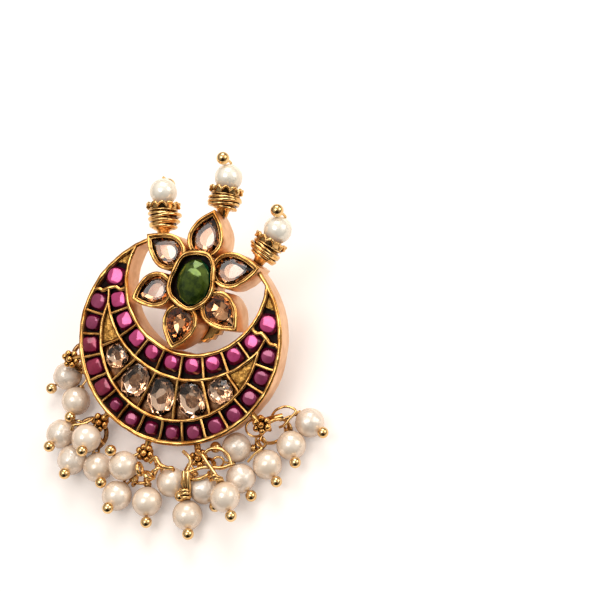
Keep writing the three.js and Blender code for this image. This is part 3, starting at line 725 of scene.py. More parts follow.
def facetedStone(bm, outline, levels):
    # levels are (scale, z) from the bottom up; every second one is turned by half a facet
    count = len(outline)
    centre = sum(outline, Vector()) / count
    ring = bmesh.ops.create_circle(bm, segments=count, radius=1, cap_ends=False)["verts"]
    edges = edgesOf(ring)
    firstEdges = edges
    for level, (scale, z) in enumerate(levels):
        if level:
            fresh, edges, _ = extrudeRing(bm, edges)
            # keep the order round the stone
            order = {}
            for vert in fresh:
                for edge in vert.link_edges:
                    other = edge.other_vert(vert)
                    if other in orderBefore:
                        order[vert] = orderBefore[other]
        else:
            order = {vert: i for i, vert in enumerate(ring)}
        for vert, i in order.items():
            a, b = outline[i], outline[(i + 1) % count]
            point = a.lerp(b, 0.5) if level % 2 else a
            flat = centre + (point - centre) * scale
            vert.co = Vector((flat.x, flat.y, z))
        orderBefore = order
    bmesh.ops.contextual_create(bm, geom=firstEdges)
    bmesh.ops.contextual_create(bm, geom=edges)


def ellipseOutline(centre, across, deep, angle, count):
    turn = Matrix.Rotation(angle, 3, "Z")
    return [turn @ Vector((across * math.cos(a), deep * math.sin(a), 0)) + centre for a in roundAngles(count)]


middleStones = [
    {"name": "round_stone_1", "across": 1.95, "deep": 1.85, "ring": 12.85},
    {"name": "oval_stone_2", "across": 2.2, "deep": 2.75, "ring": 13.0},
    {"name": "oval_stone_3", "across": 2.2, "deep": 3.0, "ring": 13.08},
    {"name": "oval_stone_4", "across": 2.2, "deep": 2.9, "ring": 13.05},
    {"name": "round_stone_5", "across": 2.0, "deep": 2.05, "ring": 12.85},
]
middleCut = {"oval": [(0.4, -1.06), (0.78, -0.84), (1.0, -0.5), (0.72, -0.12)],
             "round": [(0.3, -1.06), (0.55, -0.9), (0.8, -0.7), (1.0, -0.5), (0.82, -0.26), (0.5, -0.12)],
             "facets": {"oval": 9, "round": 14}, "stray": {"oval": 0.05, "round": 0.1}, "girdle": -0.5, "turn": 0.1}
# how much finer than a millimetre the cutter's hand strays
strayScale = 3


def lowerFaces(bm, girdle):
    # the faces under the girdle take the piece's second material
    for face in bm.faces:
        if face.calc_center_median().z < girdle - nothing:
            face.material_index = 1


def strayAt(vert, seed, amount):
    return noise.noise_vector(vert.co * strayScale + Vector((seed, 0, 0))) * amount


def halveQuads(bm):
    bmesh.ops.triangulate(bm, faces=[face for face in bm.faces if len(face.verts) == 4])


def makeMiddleStones():
    for i, stone in enumerate(middleStones):
        angle = math.radians((i - (middleRow["count"] - 1) / 2) * middleRow["step"])
        centre = circlePoint({"y": middleRow["y"], "radius": stone["ring"]}, angle)
        kind = stone["name"].split("_")[0]
        bm = bmesh.new()
        outline = ellipseOutline(centre, stone["across"], stone["deep"], angle + middleCut["turn"] * i,
                                 middleCut["facets"][kind])
        facetedStone(bm, outline, middleCut[kind])
        # hand cut: no two facets lean alike
        top = middleCut[kind][-1][1]
        for vert in bm.verts:
            if vert.co.z < top - levelGap:
                vert.co += strayAt(vert, i, middleCut["stray"][kind])
        halveQuads(bm)
        lowerFaces(bm, middleCut["girdle"])
        title = "champagneOval" if kind == "oval" else "sparklingRound"
        finishPiece(f"{title}{i + 1}", bm, worn, (champagneCrown, champagneFoil),
                    [stone["name"]], sharp=allFacets)


flower = {"y": 8.9, "height": 1.4, "floor": 0.3, "sidesSteep": 0.35, "sidesBelow": 0.2}
petals = {
    "top": {"angle": 90, "length": 11, "middle": 6.3, "width": 2.8, "bend": 0},
    "upper_right": {"angle": 31, "length": 10.5, "middle": 5.7, "width": 2.75, "bend": -0.8},
    "lower_right": {"angle": -30.3, "length": 10.3, "middle": 5.8, "width": 2.7, "bend": 0},
    "bottom": {"angle": -90, "length": 10.8, "middle": 6.3, "width": 2.75, "bend": 0},
    "lower_left": {"angle": 210, "length": 10.1, "middle": 5.8, "width": 2.7, "bend": 0.4},
    "upper_left": {"angle": 149, "length": 10.2, "middle": 5.7, "width": 2.7, "bend": 0.75},
}
# pinched into a soft wave with two little peaks: amount, number and turn of each part
oval = {"halfWidth": 3.7, "halfHeight": 4.65, "lift": 0.3, "steps": 64, "foot": 0.3, "floorGrow": -0.25,
        "waves": [(0.12, 5, 0.6), (0.1, 3, 2.0), (0.08, 4, 3.0)]}
bezel = {"outer": 0.52, "outerCrown": 0.23, "inner": 0.2, "innerCrown": 0.13, "innerAt": 0.6, "innerDrop": 0.2,
         "ovalInnerDrop": 0.14, "ledge": 0.8, "ledgeCrown": 0.05, "intoOval": -0.35}


# how much more a petal's point moves than its sides do
tipGrow = 1.6


def pear(petal, grow, roundSteps=14, sideSteps=12):
    # round at the flower's middle, pointed at the tip
    width = petal["width"] + grow
    points = []
    for i in range(roundSteps + 1):
        a = math.radians(90 + 180 * i / roundSteps)
        points.append(Vector((petal["middle"] + width * math.cos(a), width * math.sin(a), 0)))
    tip = Vector((petal["length"] + grow * tipGrow, petal["bend"], 0))
    bulge = (petal["middle"] + tip.x) / 2
    for sign, first, last in ((-1, points[-1], tip), (1, tip, points[0])):
        control = Vector((bulge, sign * width, 0))
        for i in range(1, sideSteps + 1 if sign < 0 else sideSteps):
            t = i / sideSteps
            points.append(first * (1 - t) ** 2 + control * 2 * t * (1 - t) + last * t ** 2)
    turn = Matrix.Rotation(math.radians(petal["angle"]), 3, "Z")
    return [turn @ point + Vector((0, flower["y"], 0)) for point in points]


def ovalPath(grow):
    points = []
    for a in roundAngles(oval["steps"]):
        wave = sum(amount * math.cos(number * a + turn) for amount, number, turn in oval["waves"])
        points.append(Vector(((oval["halfWidth"] + grow + wave) * math.cos(a),
                              flower["y"] + (oval["halfHeight"] + grow + wave) * math.sin(a), 0)))
    return points


def outsideOval(points):
    # the stretch of a closed path that lies outside the oval bezel, and whether that is all of it
    def within(point):
        return ((point.x / (oval["halfWidth"] + bezel["intoOval"])) ** 2
                + ((point.y - flower["y"]) / (oval["halfHeight"] + bezel["intoOval"])) ** 2) < 1
    hidden = [within(point) for point in points]
    if not any(hidden):
        return points, True
    start = next(i for i in range(len(points)) if hidden[i - 1] and not hidden[i])
    rolled = points[start:] + points[:start]
    return [point for point in rolled if not within(point)], False


def makeFlower():
    bm = bmesh.new()
    top, floor = flower["height"], flower["floor"]
    outerAt, innerAt = -bezel["outer"] / 2, -bezel["innerAt"]
    # each wall's place, section, sides and material
    walls = [
        (outerAt, strip(bezel["outer"], top, back, bezel["outerCrown"]), 14, 0),
        (innerAt, strip(bezel["inner"], top - bezel["innerDrop"], floor, bezel["innerCrown"]), 12, 0),
        (-bezel["ledge"], strip(bezel["ledge"], floor, back, bezel["ledgeCrown"]), 12, 1),
    ]
    for petal in petals.values():
        for grow, shape, sides, material in walls:
            path, whole = outsideOval(pear(petal, grow))
            sweep(bm, path, shape, whole, upright, sides, material)
    # the floor under the middle stone is in painted shade
    outlineSolid(bm, ovalPath(oval["floorGrow"]), back, floor, material=1, topMaterial=2)
    top += oval["lift"]
    foot = floor - oval["foot"]
    sweep(bm, ovalPath(outerAt), strip(bezel["outer"], top, foot, bezel["outerCrown"]), closed=True, up=upright,
          sides=14)
    sweep(bm, ovalPath(innerAt), strip(bezel["inner"], top - bezel["ovalInnerDrop"], foot, bezel["innerCrown"]),
          closed=True, up=upright)
    roughen(bm, wobble["amount"], wobble["size"], 11)
    satinSides(bm, flower["sidesSteep"], flower["sidesBelow"])
    finishPiece("flowerBezels", bm, worn, (gold, sideGold, recessShade), ["setting"], sharp=50)


petalCut = {"grow": -0.68, "open": [(0.52, 0.2), (0.82, 0.36), (1.0, 0.76), (0.74, 1.06)],
            "closed": [(0.25, 0.2), (0.6, 0.3), (1.0, 0.76), (0.62, 1.06)], "girdle": 0.7, "facets": (7, 4),
            "stray": 0.2, "strayFlatAbove": 0.9, "crookedAbove": 0.55}
# the two with brown backs, and how far each was set crooked
closedPetals = {"bottom": 0.27, "lower_right": 0.17}


def makePetalStones():
    for seed, (name, petal) in enumerate(petals.items()):
        bm = bmesh.new()
        closed = name in closedPetals
        levels = petalCut["closed" if closed else "open"]
        backTop = levels[0][1] + levelGap
        facetedStone(bm, pear(petal, petalCut["grow"], *petalCut["facets"]), levels)
        # brown behind, but for the clear backs of the upper four
        for face in bm.faces:
            height = face.calc_center_median().z
            if height < petalCut["girdle"] and (closed or height > backTop):
                face.material_index = 1
        middle = sum((vert.co for vert in bm.verts), Vector()) / len(bm.verts)
        for vert in bm.verts:
            stray = strayAt(vert, seed, petalCut["stray"])
            if backTop < vert.co.z < petalCut["girdle"]:
                vert.co += stray
            elif vert.co.z > petalCut["strayFlatAbove"]:
                vert.co.xy += stray.xy
            if closed and vert.co.z > petalCut["crookedAbove"]:
                vert.co.z -= (vert.co.x - middle.x) * closedPetals[name]
        halveQuads(bm)
        foil = tawnyFoil if closed else brownFoil
        finishPiece(f"{titled(name)}PetalStone", bm, worn, (champagneClear, foil),
                    [f"petal_stone_{name}"], sharp=allFacets)


centreCut = {"levels": [(0.92, 0.3), (1.0, 0.9), (0.9, 1.35), (0.62, 1.85)], "facets": 11, "gap": 0.95,
             "shift": (0.1, -0.14), "offset": (0.16, -0.2), "turn": 0.1, "dark": 1.2, "tilt": (-0.09, 0.12),
             "bevel": 0.05}


def makeCentreStone():
    bm = bmesh.new()
    offsetX, offsetY = centreCut["offset"]
    tiltX, tiltY = centreCut["tilt"]
    outline = ellipseOutline(Vector((offsetX, flower["y"] + offsetY, 0)), oval["halfWidth"] - centreCut["gap"],
                             oval["halfHeight"] - centreCut["gap"], centreCut["turn"], centreCut["facets"])
    facetedStone(bm, outline, centreCut["levels"])
    # the crown was cut off centre and leans to one side
    low, high = centreCut["levels"][1][1], centreCut["levels"][-1][1]
    for vert in bm.verts:
        share = max(0.0, (vert.co.z - low) / (high - low))
        vert.co += Vector((*centreCut["shift"], 0)) * share ** 0.5
        vert.co.z += (vert.co.x * tiltX + (vert.co.y - flower["y"]) * tiltY) * share
    bmesh.ops.bevel(bm, geom=list(bm.edges), offset=centreCut["bevel"], segments=2, profile=0.5, affect="EDGES",
                    material=-1)
    # the side facets take the second green, which is painted light
    lowerFaces(bm, centreCut["dark"])
    finishPiece("greenCentreStone", bm, worn, (green, greenEdge), ["centre_stone"], sharp=20)


makeMagentaStones()
makeMiddleStones()
makeFlower()
makePetalStones()
makeCentreStone()


print("earring: finials")

finial = {"z": -2.2, "pin": 0.2, "pearlPin": 0.3, "foot": 1.45, "core": 1.95, "flare": 0.95, "waist": 1.85,
          "lip": 2.35, "lipDrop": 0.22, "lipSpread": (0.12, 0.02), "scallops": 12, "scallopRise": 0.6,
          "scallopPower": 0.6, "scallopLean": 0.2, "lipWire": 0.2, "coilWire": 0.26, "coilStray": 0.07,
          "coilNoise": 0.5, "coilLean": 0.06, "belt": 0.25, "beltWire": 0.15, "beltRise": 0.3, "shell": 0.12,
          "pearl": 2.1, "pearlStray": (0.05, 2.2), "ball": 0.98, "bendAt": 2.45, "bendShares": (0.4, 0.35),
          "pinStart": (-1.2, 2)}
# the cap's core: how far up it starts, where its shoulder is and how far in, and how far under the cap it narrows
finialCore = {"start": 0.05, "shoulder": 0.6, "taper": 0.2, "under": 0.3}
# how far the flare's lower levels stand out from the waist, and up from its foot
finialFlare = [(-0.1, 0), (0.15, 0.12), (0.22, 0.4)]
# radius and height of the foot that joins a finial to its petal's tip
finialFoot = [(0, -1.1), (0.75, -1.1), (0.95, -0.2), (1.2, 0.1), (0, 0.1)]
# each coil's height, radius, tilt in degrees and shift
finials = {
    "left": {"x": -8.1, "y": 14.8, "lean": 18, "lipAt": 3.7, "pearlAt": 5.95,
             "ball": {"lean": 25, "rise": -60, "reach": 3.4},
             "coils": [(0.55, 1.9, 3, 0.0), (1.05, 2.0, -5, 0.1), (1.5, 2.15, 4, 0.16), (2.0, 2.35, -9, 0.25),
                       (2.45, 2.2, 2, 0.05)]},
    "middle": {"x": 0.15, "y": 20.4, "lean": 8, "lipAt": 2.9, "pearlAt": 4.95,
               "ball": {"lean": 27, "rise": 29, "reach": 3.12},
               "coils": [(0.35, 1.75, 4, 0.1), (0.8, 2.15, -6, -0.05), (1.25, 2.35, -8, 0.05),
                         (1.7, 2.3, -3, 0.0)]},
    "right": {"x": 8.05, "y": 15.0, "lean": -14, "lipAt": 2.9, "pearlAt": 4.95,
              "ball": {"lean": 11, "rise": 31, "reach": 3.12},
              "coils": [(0.35, 1.8, 5, 0.1), (0.8, 2.15, 9, 0.0), (1.3, 2.3, 6, -0.1), (1.75, 2.2, 10, 0.05)]},
}


def leaning(lean, rise=0):
    lean, rise = math.radians(lean), math.radians(rise)
    return Vector((-math.sin(lean) * math.cos(rise), math.cos(lean) * math.cos(rise), math.sin(rise)))


def lathe(bm, profile, steps):
    # the profile is (radius, z) from the bottom up
    verts = [bm.verts.new((radius, 0, z)) for radius, z in profile]
    edges = [bm.edges.new(pair) for pair in zip(verts, verts[1:])]
    bmesh.ops.spin(bm, geom=verts + edges, cent=(0, 0, 0), axis=(0, 0, 1), angle=2 * math.pi, steps=steps,
                   use_merge=True)


def lobe(a):
    # how high the scalloped edge stands at an angle, from 0 to 1
    return abs(math.sin(finial["scallops"] * a / 2)) ** finial["scallopPower"]


def around(a, radius, z):
    return Vector((radius * math.cos(a), radius * math.sin(a), z))


def makeCoils(bm, coils, seed):
    # coils of wire, none quite level or round
    for z, radius, tilt, shift in coils:
        sideways = finial["coilLean"] * noise.noise(Vector((z, seed, 0)))
        axis = Vector((math.sin(math.radians(tilt)), sideways, 1)).normalized()
        coil = circleAround(Vector((shift, 0, z)), axis, radius, 40)
        for point in coil:
            stray = noise.noise_vector(point * finial["coilNoise"] + Vector((seed, z, 0)))
            point += stray * finial["coilStray"]
        sweep(bm, coil, wire(finial["coilWire"]), closed=True, sides=10, material=1)


def makeFlare(bm, foot, lipBase):
    # the flared shell with its scalloped edge, from (radius, z, share of the scallops) at each level
    levels = [(finial["waist"] + out, foot + lift, 0) for out, lift in finialFlare]
    levels.append((finial["lip"], lipBase, 1))
    ring = bmesh.ops.create_circle(bm, segments=finial["scallops"] * 8, radius=1)["verts"]
    edges = edgesOf(ring)
    shell = []
    for level, (radius, z, share) in enumerate(levels):
        if level:
            ring, edges, faces = extrudeRing(bm, edges)
            shell += faces
        for vert in ring:
            a = math.atan2(vert.co.y, vert.co.x)
            rise = finial["scallopRise"] * lobe(a) * share
            vert.co = around(a, radius + rise * finial["scallopLean"], z + rise)
    for face in shell:
        face.material_index = 1
    bmesh.ops.solidify(bm, geom=shell, thickness=finial["shell"])


def makeCap(name, row, place, seed):
    foot = row["lipAt"] - finial["flare"]
    lipBase = row["lipAt"] - finial["lipDrop"]
    bm = bmesh.new()
    # the core that the wire is wound on
    start, core = finialCore["start"], finial["core"]
    lathe(bm, [(0, start), (finial["foot"], start), (core - finialCore["taper"], finialCore["shoulder"]),
               (core, foot - finialCore["under"]), (finial["waist"], foot), (0, foot)], 32)
    makeCoils(bm, row["coils"], seed)
    makeFlare(bm, foot, lipBase)
    spread, pull = finial["lipSpread"]
    lip = [around(a, finial["lip"] + spread * lobe(a) - pull, lipBase + finial["scallopRise"] * lobe(a))
           for a in roundAngles(finial["scallops"] * 10)]
    sweep(bm, lip, wire(finial["lipWire"]), closed=True, sides=8, material=1)
    belt = circleAround(Vector((0, 0, foot + finial["beltRise"])), upright, finial["waist"] + finial["belt"],
                        48)
    sweep(bm, belt, wire(finial["beltWire"]), closed=True, sides=8, material=1)
    finishPiece(f"{name}FinialCap", bm, place, (gold, wireGold), [f"finial_cap_{name}"], sharp=50)


def makeFinialPin(name, row, place, turn):
    bm = bmesh.new()
    ballWay = turn.inverted() @ leaning(row["ball"]["lean"], row["ball"]["rise"])
    ballAt = Vector((0, 0, row["pearlAt"])) + ballWay * row["ball"]["reach"]
    bend = Vector((0, 0, row["pearlAt"] + finial["bendAt"]))
    pinPath = [Vector((0, 0, z)) for z in (*finial["pinStart"], row["pearlAt"], row["pearlAt"] + 2)]
    before, after = finial["bendShares"]
    bent = [pinPath[-1], bend.lerp(pinPath[-1], before), bend.lerp(ballAt, after), ballAt]
    sweep(bm, smoothPath(bent, 4), wire(finial["pin"]), sides=10, material=1)
    sweep(bm, pinPath, wire(finial["pearlPin"]), sides=10)
    ball(bm, ballAt, finial["ball"], 24, 16, material=1)
    lathe(bm, finialFoot, 24)
    finishPiece(f"{name}FinialPin", bm, place, (gold, ballGold), ["setting"], sharp=50)


def makeFinial(name, seed):
    row = finials[name]
    direction = leaning(row["lean"])
    turn = Matrix((Vector((direction.y, -direction.x, 0)), Vector((0, 0, -1)), direction)).transposed()
    place = worn @ Matrix.Translation((row["x"], row["y"], finial["z"])) @ turn.to_4x4()
    makeCap(name, row, place, seed)
    makeFinialPin(name, row, place, turn)
    bm = bmesh.new()
    ball(bm, Vector((0, 0, row["pearlAt"])), finial["pearl"], 36, 24)
    roughen(bm, *finial["pearlStray"], seed)
    finishPiece(f"{name}FinialPearl", bm, place, (pearlWhite,), [f"finial_pearl_{name}"], sharp=noEdges)


for seed, name in enumerate(finials):
    makeFinial(name, seed + 1)


print("earring: rosettes")

rosette = {"ring": 18.0, "z": -1.0, "grain": 0.52, "spread": 0.95, "topLift": 0.35, "underSpread": 0.78,
           "underDrop": 0.62, "turnStray": 9, "spreadStray": 0.05, "grainRange": (0.92, 1.05), "liftStray": 0.15,
           "stalk": 0.5, "stalkDrop": 0.2, "stalkRings": (15.6, 16.4, 17.2, 18.0)}
loop = {"ring": 18.3, "z": -2.6, "radius": 0.95, "wire": 0.24}
clusterAngles = {"left": -62.5, "lower_left": -27.5, "bottom": 0, "lower_right": 27.5, "right": 62.5}


def rimPoint(angle, ring, z):
    return circlePoint({"y": 0, "radius": ring}, math.radians(angle), z)


def tangent(angle):
    return Vector((math.cos(math.radians(angle)), math.sin(math.radians(angle)), 0))


def makeRosettes():
    bm = bmesh.new()
    for seed, angle in enumerate(clusterAngles.values()):
        draw = random.Random(seed + 40)
        middle = rimPoint(angle, rosette["ring"], rosette["z"])
        ball(bm, middle + Vector((0, 0, rosette["topLift"])), rosette["grain"], 14, 10)
        for i in range(6):
            a = math.radians(60 * i + draw.uniform(-rosette["turnStray"], rosette["turnStray"]))
            spread = rosette["spread"] + draw.uniform(-rosette["spreadStray"], rosette["spreadStray"])
            grain = rosette["grain"] * draw.uniform(*rosette["grainRange"])
            lift = draw.uniform(-rosette["liftStray"], rosette["liftStray"])
            ball(bm, middle + around(a, spread, lift), grain, 14, 10)
            under = around(a + math.radians(30), rosette["underSpread"] * spread, -rosette["underDrop"])
            ball(bm, middle + under, grain, 12, 8)
        stalk = [rimPoint(angle, ring, rosette["z"] - rosette["stalkDrop"]) for ring in rosette["stalkRings"]]
        sweep(bm, stalk, wire(rosette["stalk"]), sides=10)
        hang = circleAround(rimPoint(angle, loop["ring"], loop["z"]), tangent(angle), loop["radius"], 28)
        sweep(bm, hang, wire(loop["wire"]), closed=True, sides=10)
    finishPiece("rimRosettes", bm, worn, (gold,), ["setting"], sharp=60)


makeRosettes()


print("earring: post and nut")

nut = {"radius": 5.1, "teeth": 24, "toothDepth": 0.35, "toothShare": 0.65, "rimThickness": 2.2, "hubRadius": 2.6,
       "hubTaper": 0.15, "hubHeight": 0.8, "hubSunk": 0.1, "bore": 0.66, "mouthWire": 0.12, "clearance": 0.3,
       "bevel": 0.12}


def makePost():
    bm = bmesh.new()
    radius, pitch = post["radius"], post["threadPitch"]
    start, tipZ = back + post["intoPlate"], back - post["length"]
    bevelIn, bevelUp = post["tipBevel"]
    profile = [(0, start), (radius, start)]
    for i in range(round((post["length"] - post["plain"]) / pitch)):
        z = back - post["threadStart"] - i * pitch
        profile += [(radius, z), (radius - post["threadDepth"], z - pitch / 2)]
    profile += [(radius, tipZ + bevelUp), (radius - bevelIn, tipZ), (0, tipZ)]
    lathe(bm, profile, 24)
    bmesh.ops.translate(bm, vec=(0, post["y"], 0), verts=bm.verts)
    finishPiece("screwPost", bm, worn, (sideGold,), ["setting"], sharp=50, merge=nothing)


def makeNut():
    bm = bmesh.new()
    front = back - nut["clearance"]
    rimBack = front - nut["rimThickness"]
    outline = []
    for i in range(nut["teeth"]):
        angle = 2 * math.pi * i / nut["teeth"]
        toothEnd = angle + 2 * math.pi * nut["toothShare"] / nut["teeth"]
        outline += [around(angle, nut["radius"], 0), around(toothEnd, nut["radius"] - nut["toothDepth"], 0)]
    outlineSolid(bm, outline, rimBack, front)
    bmesh.ops.bevel(bm, geom=list(bm.edges), offset=nut["bevel"], segments=2, profile=0.5, affect="EDGES",
                    material=-1)
    hubHeight, sunkIn = nut["hubHeight"], nut["hubSunk"]
    hub = bmesh.ops.create_cone(bm, cap_ends=True, segments=40, radius1=nut["hubRadius"] - nut["hubTaper"],
                                radius2=nut["hubRadius"], depth=hubHeight + sunkIn)["verts"]
    bmesh.ops.translate(bm, vec=(0, 0, rimBack - hubHeight / 2 + sunkIn / 2), verts=hub)
    # the bore's rounded mouth behind
    mouthWire = nut["mouthWire"]
    mouth = circleAround(Vector((0, 0, rimBack - hubHeight)), upright, nut["bore"] + mouthWire, 28)
    sweep(bm, mouth, wire(mouthWire), closed=True, sides=8)
    bmesh.ops.translate(bm, vec=(0, post["y"], 0), verts=bm.verts)
    finishPiece("serratedNut", bm, worn, (gold,), ["screw_nut"], body="nut")


makePost()
makeNut()


print("earring: drops")

pearl = {"radius": 2.2, "ball": 0.85, "ballAt": 3.12, "neckAt": 2.75, "wire": 0.2, "pinInside": 1.5,
         "wrapWire": 0.19, "wrapTurns": (1.8, 2.3, 2.8), "wrapStart": 0.06, "wrapLength": 0.62, "wrapStray": 0.04,
         "eyeWire": 0.19, "eye": 0.85, "leastTail": 0.2}
# how far a pearl's skin strays, and the size of the strays
pearlStray = {"smooth": (0.06, 2.2), "pitted": (0.12, 1.5)}
jumpRing = {"radius": 2.3, "wire": 0.36, "eyeGrip": 0.6, "thin": 0.27, "thinOn": ("bottom", "lower_right", "right")}
# odd ends and loops of wire that were bent by hand round the rings: thickness and path
bentWires = {
    "left": [],
    "lower_left": [(0.24, [(-11.5, -17.4, 4.5), (-11.3, -16.6, 4.9), (-10.0, -15.9, 4.7), (-9.4, -14.5, 3.8)])],
    "bottom": [(0.3, [(1.9, -17.9, 4.4), (2.6, -17.0, 4.9), (3.7, -17.7, 4.8), (4.7, -17.8, 4.6),
                       (5.4, -17.5, 4.1), (5.6, -18.0, 3.4)])],
    "lower_right": [
        (0.27, [(9.2, -14.4, 4.6), (9.6, -13.4, 4.9), (10.6, -12.8, 5.1), (11.7, -12.7, 5.1), (12.7, -13.1, 4.9),
                (13.6, -14.2, 4.5)]),
        (0.27, [(13.6, -14.2, 4.5), (12.6, -15.1, 4.7), (11.2, -15.6, 4.9), (9.8, -16.1, 5.0), (7.9, -17.6, 4.9)]),
        (0.29, [(8.0, -14.3, 4.6), (9.1, -14.4, 5.2), (10.3, -15.2, 5.4), (12.6, -16.7, 5.9)]),
        (0.24, [(11.5, -17.2, 5.5), (12.3, -16.8, 6.4), (13.4, -16.7, 5.6)]),
        (0.24, [(11.9, -17.5, 5.6), (12.8, -17.2, 6.6), (13.5, -16.9, 5.7)]),
        (0.27, [(6.0, -14.7, 4.4), (7.7, -15.6, 4.9), (7.9, -17.6, 4.9)]),
        (0.39, [(7.5, -17.4, 4.9), (7.9, -18.6, 4.6), (8.4, -19.9, 4.0), (8.7, -20.8, 3.4)]),
        (0.39, [(8.1, -17.2, 4.9), (8.5, -18.4, 4.6), (9.0, -19.7, 4.0), (9.2, -20.7, 3.4)]),
    ],
    "right": [
        (0.18, [(16.1, -7.7, 3.4), (16.0, -9.4, 3.6), (16.8, -10.3, 4.0), (16.2, -11.5, 4.2), (15.7, -13.0, 4.3)]),
        (0.2, [(16.3, -5.4, 3.4), (16.6, -4.4, 3.9), (17.3, -3.7, 4.2), (18.3, -3.2, 4.2), (19.6, -3.4, 4.1),
                (19.1, -4.8, 3.9), (18.7, -5.8, 3.6), (18.0, -6.4, 3.3)]),
        (0.46, [(15.9, -5.8, 3.3), (17.0, -5.3, 3.8), (18.0, -4.7, 3.9)]),
    ],
}
# closed turns of wire: thickness, radius, centre and axis
bentRings = {
    "bottom": [(0.29, 0.85, (0.9, -19.3, 4.4), (0.9, 0.5, 0.2)), (0.29, 0.85, (2.6, -19.7, 4.5), (0.2, 0.9, 0.45)),
               (0.27, 0.7, (3.4, -18.5, 4.6), (-0.7, 0.6, 0.3))],
    "lower_right": [(0.24, 0.62, (8.4, -19.8, 4.05), (0.25, -0.85, -0.35)),
                    (0.24, 0.66, (8.6, -20.2, 3.85), (0.35, -0.85, -0.3)),
                    (0.24, 0.68, (8.8, -20.6, 3.65), (0.2, -0.85, -0.4))],
    "right": [(0.17, 1.35, (14.6, -7.7, 3.4), (0.1, 0.2, 1))],
}
onSurface = pearl["radius"] - 0.1
# each drop: where its eye is round its ring, where its pearl is, which way its pin points and rises, and its skin
clusters = {
    "left": {"swing": 127, "drops": [
        (150, (-17.0, -9.3, onSurface), -120, 0, "pitted"),
        (110, (-13.9, -12.6, onSurface), -75, 22, "smooth"),
        (60, (-13.3, 0.4, onSurface), 80, 0, "smooth"),
    ]},
    "lower_left": {"swing": -8, "drops": [
        (-90, (-13.8, -18.1, onSurface), -93, 34, "pitted"),
        (80, (-8.8, -17.8, 4.4), -64, 40, "smooth"),
        (160, (-10.4, -21.2, onSurface), -76, 36, "pitted"),
        (110, (-6.1, -20.9, onSurface), -47, 25, "smooth"),
    ]},
    "bottom": {"swing": -19, "drops": [
        (180, (-1.8, -19.6, 3.9), 150, 40, "smooth"),
        (-150, (-1.5, -23.8, onSurface), -84, 42, "smooth"),
        (140, (3.2, -23.1, onSurface), -66, 8, "smooth"),
        (60, (5.5, -19.2, onSurface), -33, 22, "smooth"),
    ]},
    "lower_right": {"swing": -55, "drops": [
        (-130, (9.7, -22.9, onSurface), -60, 20, "smooth"),
        (-60, (10.5, -18.5, onSurface), -35, 0, "pitted"),
        (130, (14.6, -18.9, 4.8), -49, 11, "smooth"),
        (60, (15.1, -15.2, onSurface), -38, 2, "pitted"),
    ]},
    "right": {"swing": 56, "drops": [
        (-90, (12.75, -11.15, onSurface), -160, 8, "pitted"),
        (-60, (18.1, -12.0, onSurface), -41, 11, "smooth"),
        (120, (20.4, -8.1, onSurface), -55, 19, "smooth"),
        (75, (21.8, -3.9, onSurface), -23, 24, "pitted"),
    ]},
}


def ringFrame(name):
    # the jump ring's middle and the two directions that span it, as it lies
    angle = clusterAngles[name]
    swing = math.radians(clusters[name]["swing"])
    leaned = Matrix.Translation((0, 0, edgeHeight)) @ leanedBack
    hang = rimPoint(angle, 1, 0) * math.cos(swing) + Vector((0, 0, -math.sin(swing)))
    centre = leaned @ (rimPoint(angle, loop["ring"], loop["z"]) + hang * jumpRing["radius"])
    return centre, leanedBack.to_3x3() @ hang, leanedBack.to_3x3() @ tangent(angle)


def makeDrop(bm, drop, centre, hang, side, seed):
    draw = random.Random(seed)
    eye, at, heading, rise, _ = drop
    heading, rise, eyeAngle = math.radians(heading), math.radians(rise), math.radians(eye)
    direction = Vector((math.cos(heading) * math.cos(rise), math.sin(heading) * math.cos(rise), math.sin(rise)))
    middle = Vector(at)
    onRing = (centre - hang * jumpRing["radius"] * math.cos(eyeAngle)
              + side * jumpRing["radius"] * math.sin(eyeAngle))
    ringTangent = (hang * math.sin(eyeAngle) + side * math.cos(eyeAngle)).normalized()
    neck = middle - direction * pearl["neckAt"]
    toEye = (onRing - neck).normalized()
    eyeCentre = onRing - toEye * (pearl["eye"] - jumpRing["wire"] * jumpRing["eyeGrip"])
    # the straight pin, its wraps above the pearl, and the wire on to the eye
    inside = pearl["pinInside"]
    straight = [middle + direction * s for s in (pearl["ballAt"], inside, 0, -inside, -pearl["neckAt"])]
    sweep(bm, straight, wire(pearl["wire"]), sides=8)
    ball(bm, middle + direction * pearl["ballAt"], pearl["ball"], 22, 14, material=1)
    across = direction.orthogonal().normalized()
    other = direction.cross(across)
    wraps = []
    turns = draw.choice(pearl["wrapTurns"])
    steps = round(turns * 12)
    for i in range(steps + 1):
        a = 2 * math.pi * turns * i / steps
        radius = pearl["wire"] + pearl["wrapWire"] + draw.uniform(0, pearl["wrapStray"])
        along = -(pearl["radius"] + pearl["wrapStart"] + pearl["wrapLength"] * i / steps)
        wraps.append(middle + direction * along + across * radius * math.cos(a) + other * radius * math.sin(a))
    sweep(bm, wraps, wire(pearl["wrapWire"]), sides=8)
    loopFoot = eyeCentre - toEye * pearl["eye"]
    if (loopFoot - neck).dot(toEye) > pearl["leastTail"]:
        sweep(bm, [neck, neck.lerp(loopFoot, 0.5), loopFoot], wire(pearl["wire"]), sides=8)
    axis = toEye.cross(ringTangent.cross(toEye)).normalized()
    eyePath = circleAround(eyeCentre, axis, pearl["eye"], 26)
    sweep(bm, eyePath, wire(pearl["eyeWire"]), closed=True, sides=8)


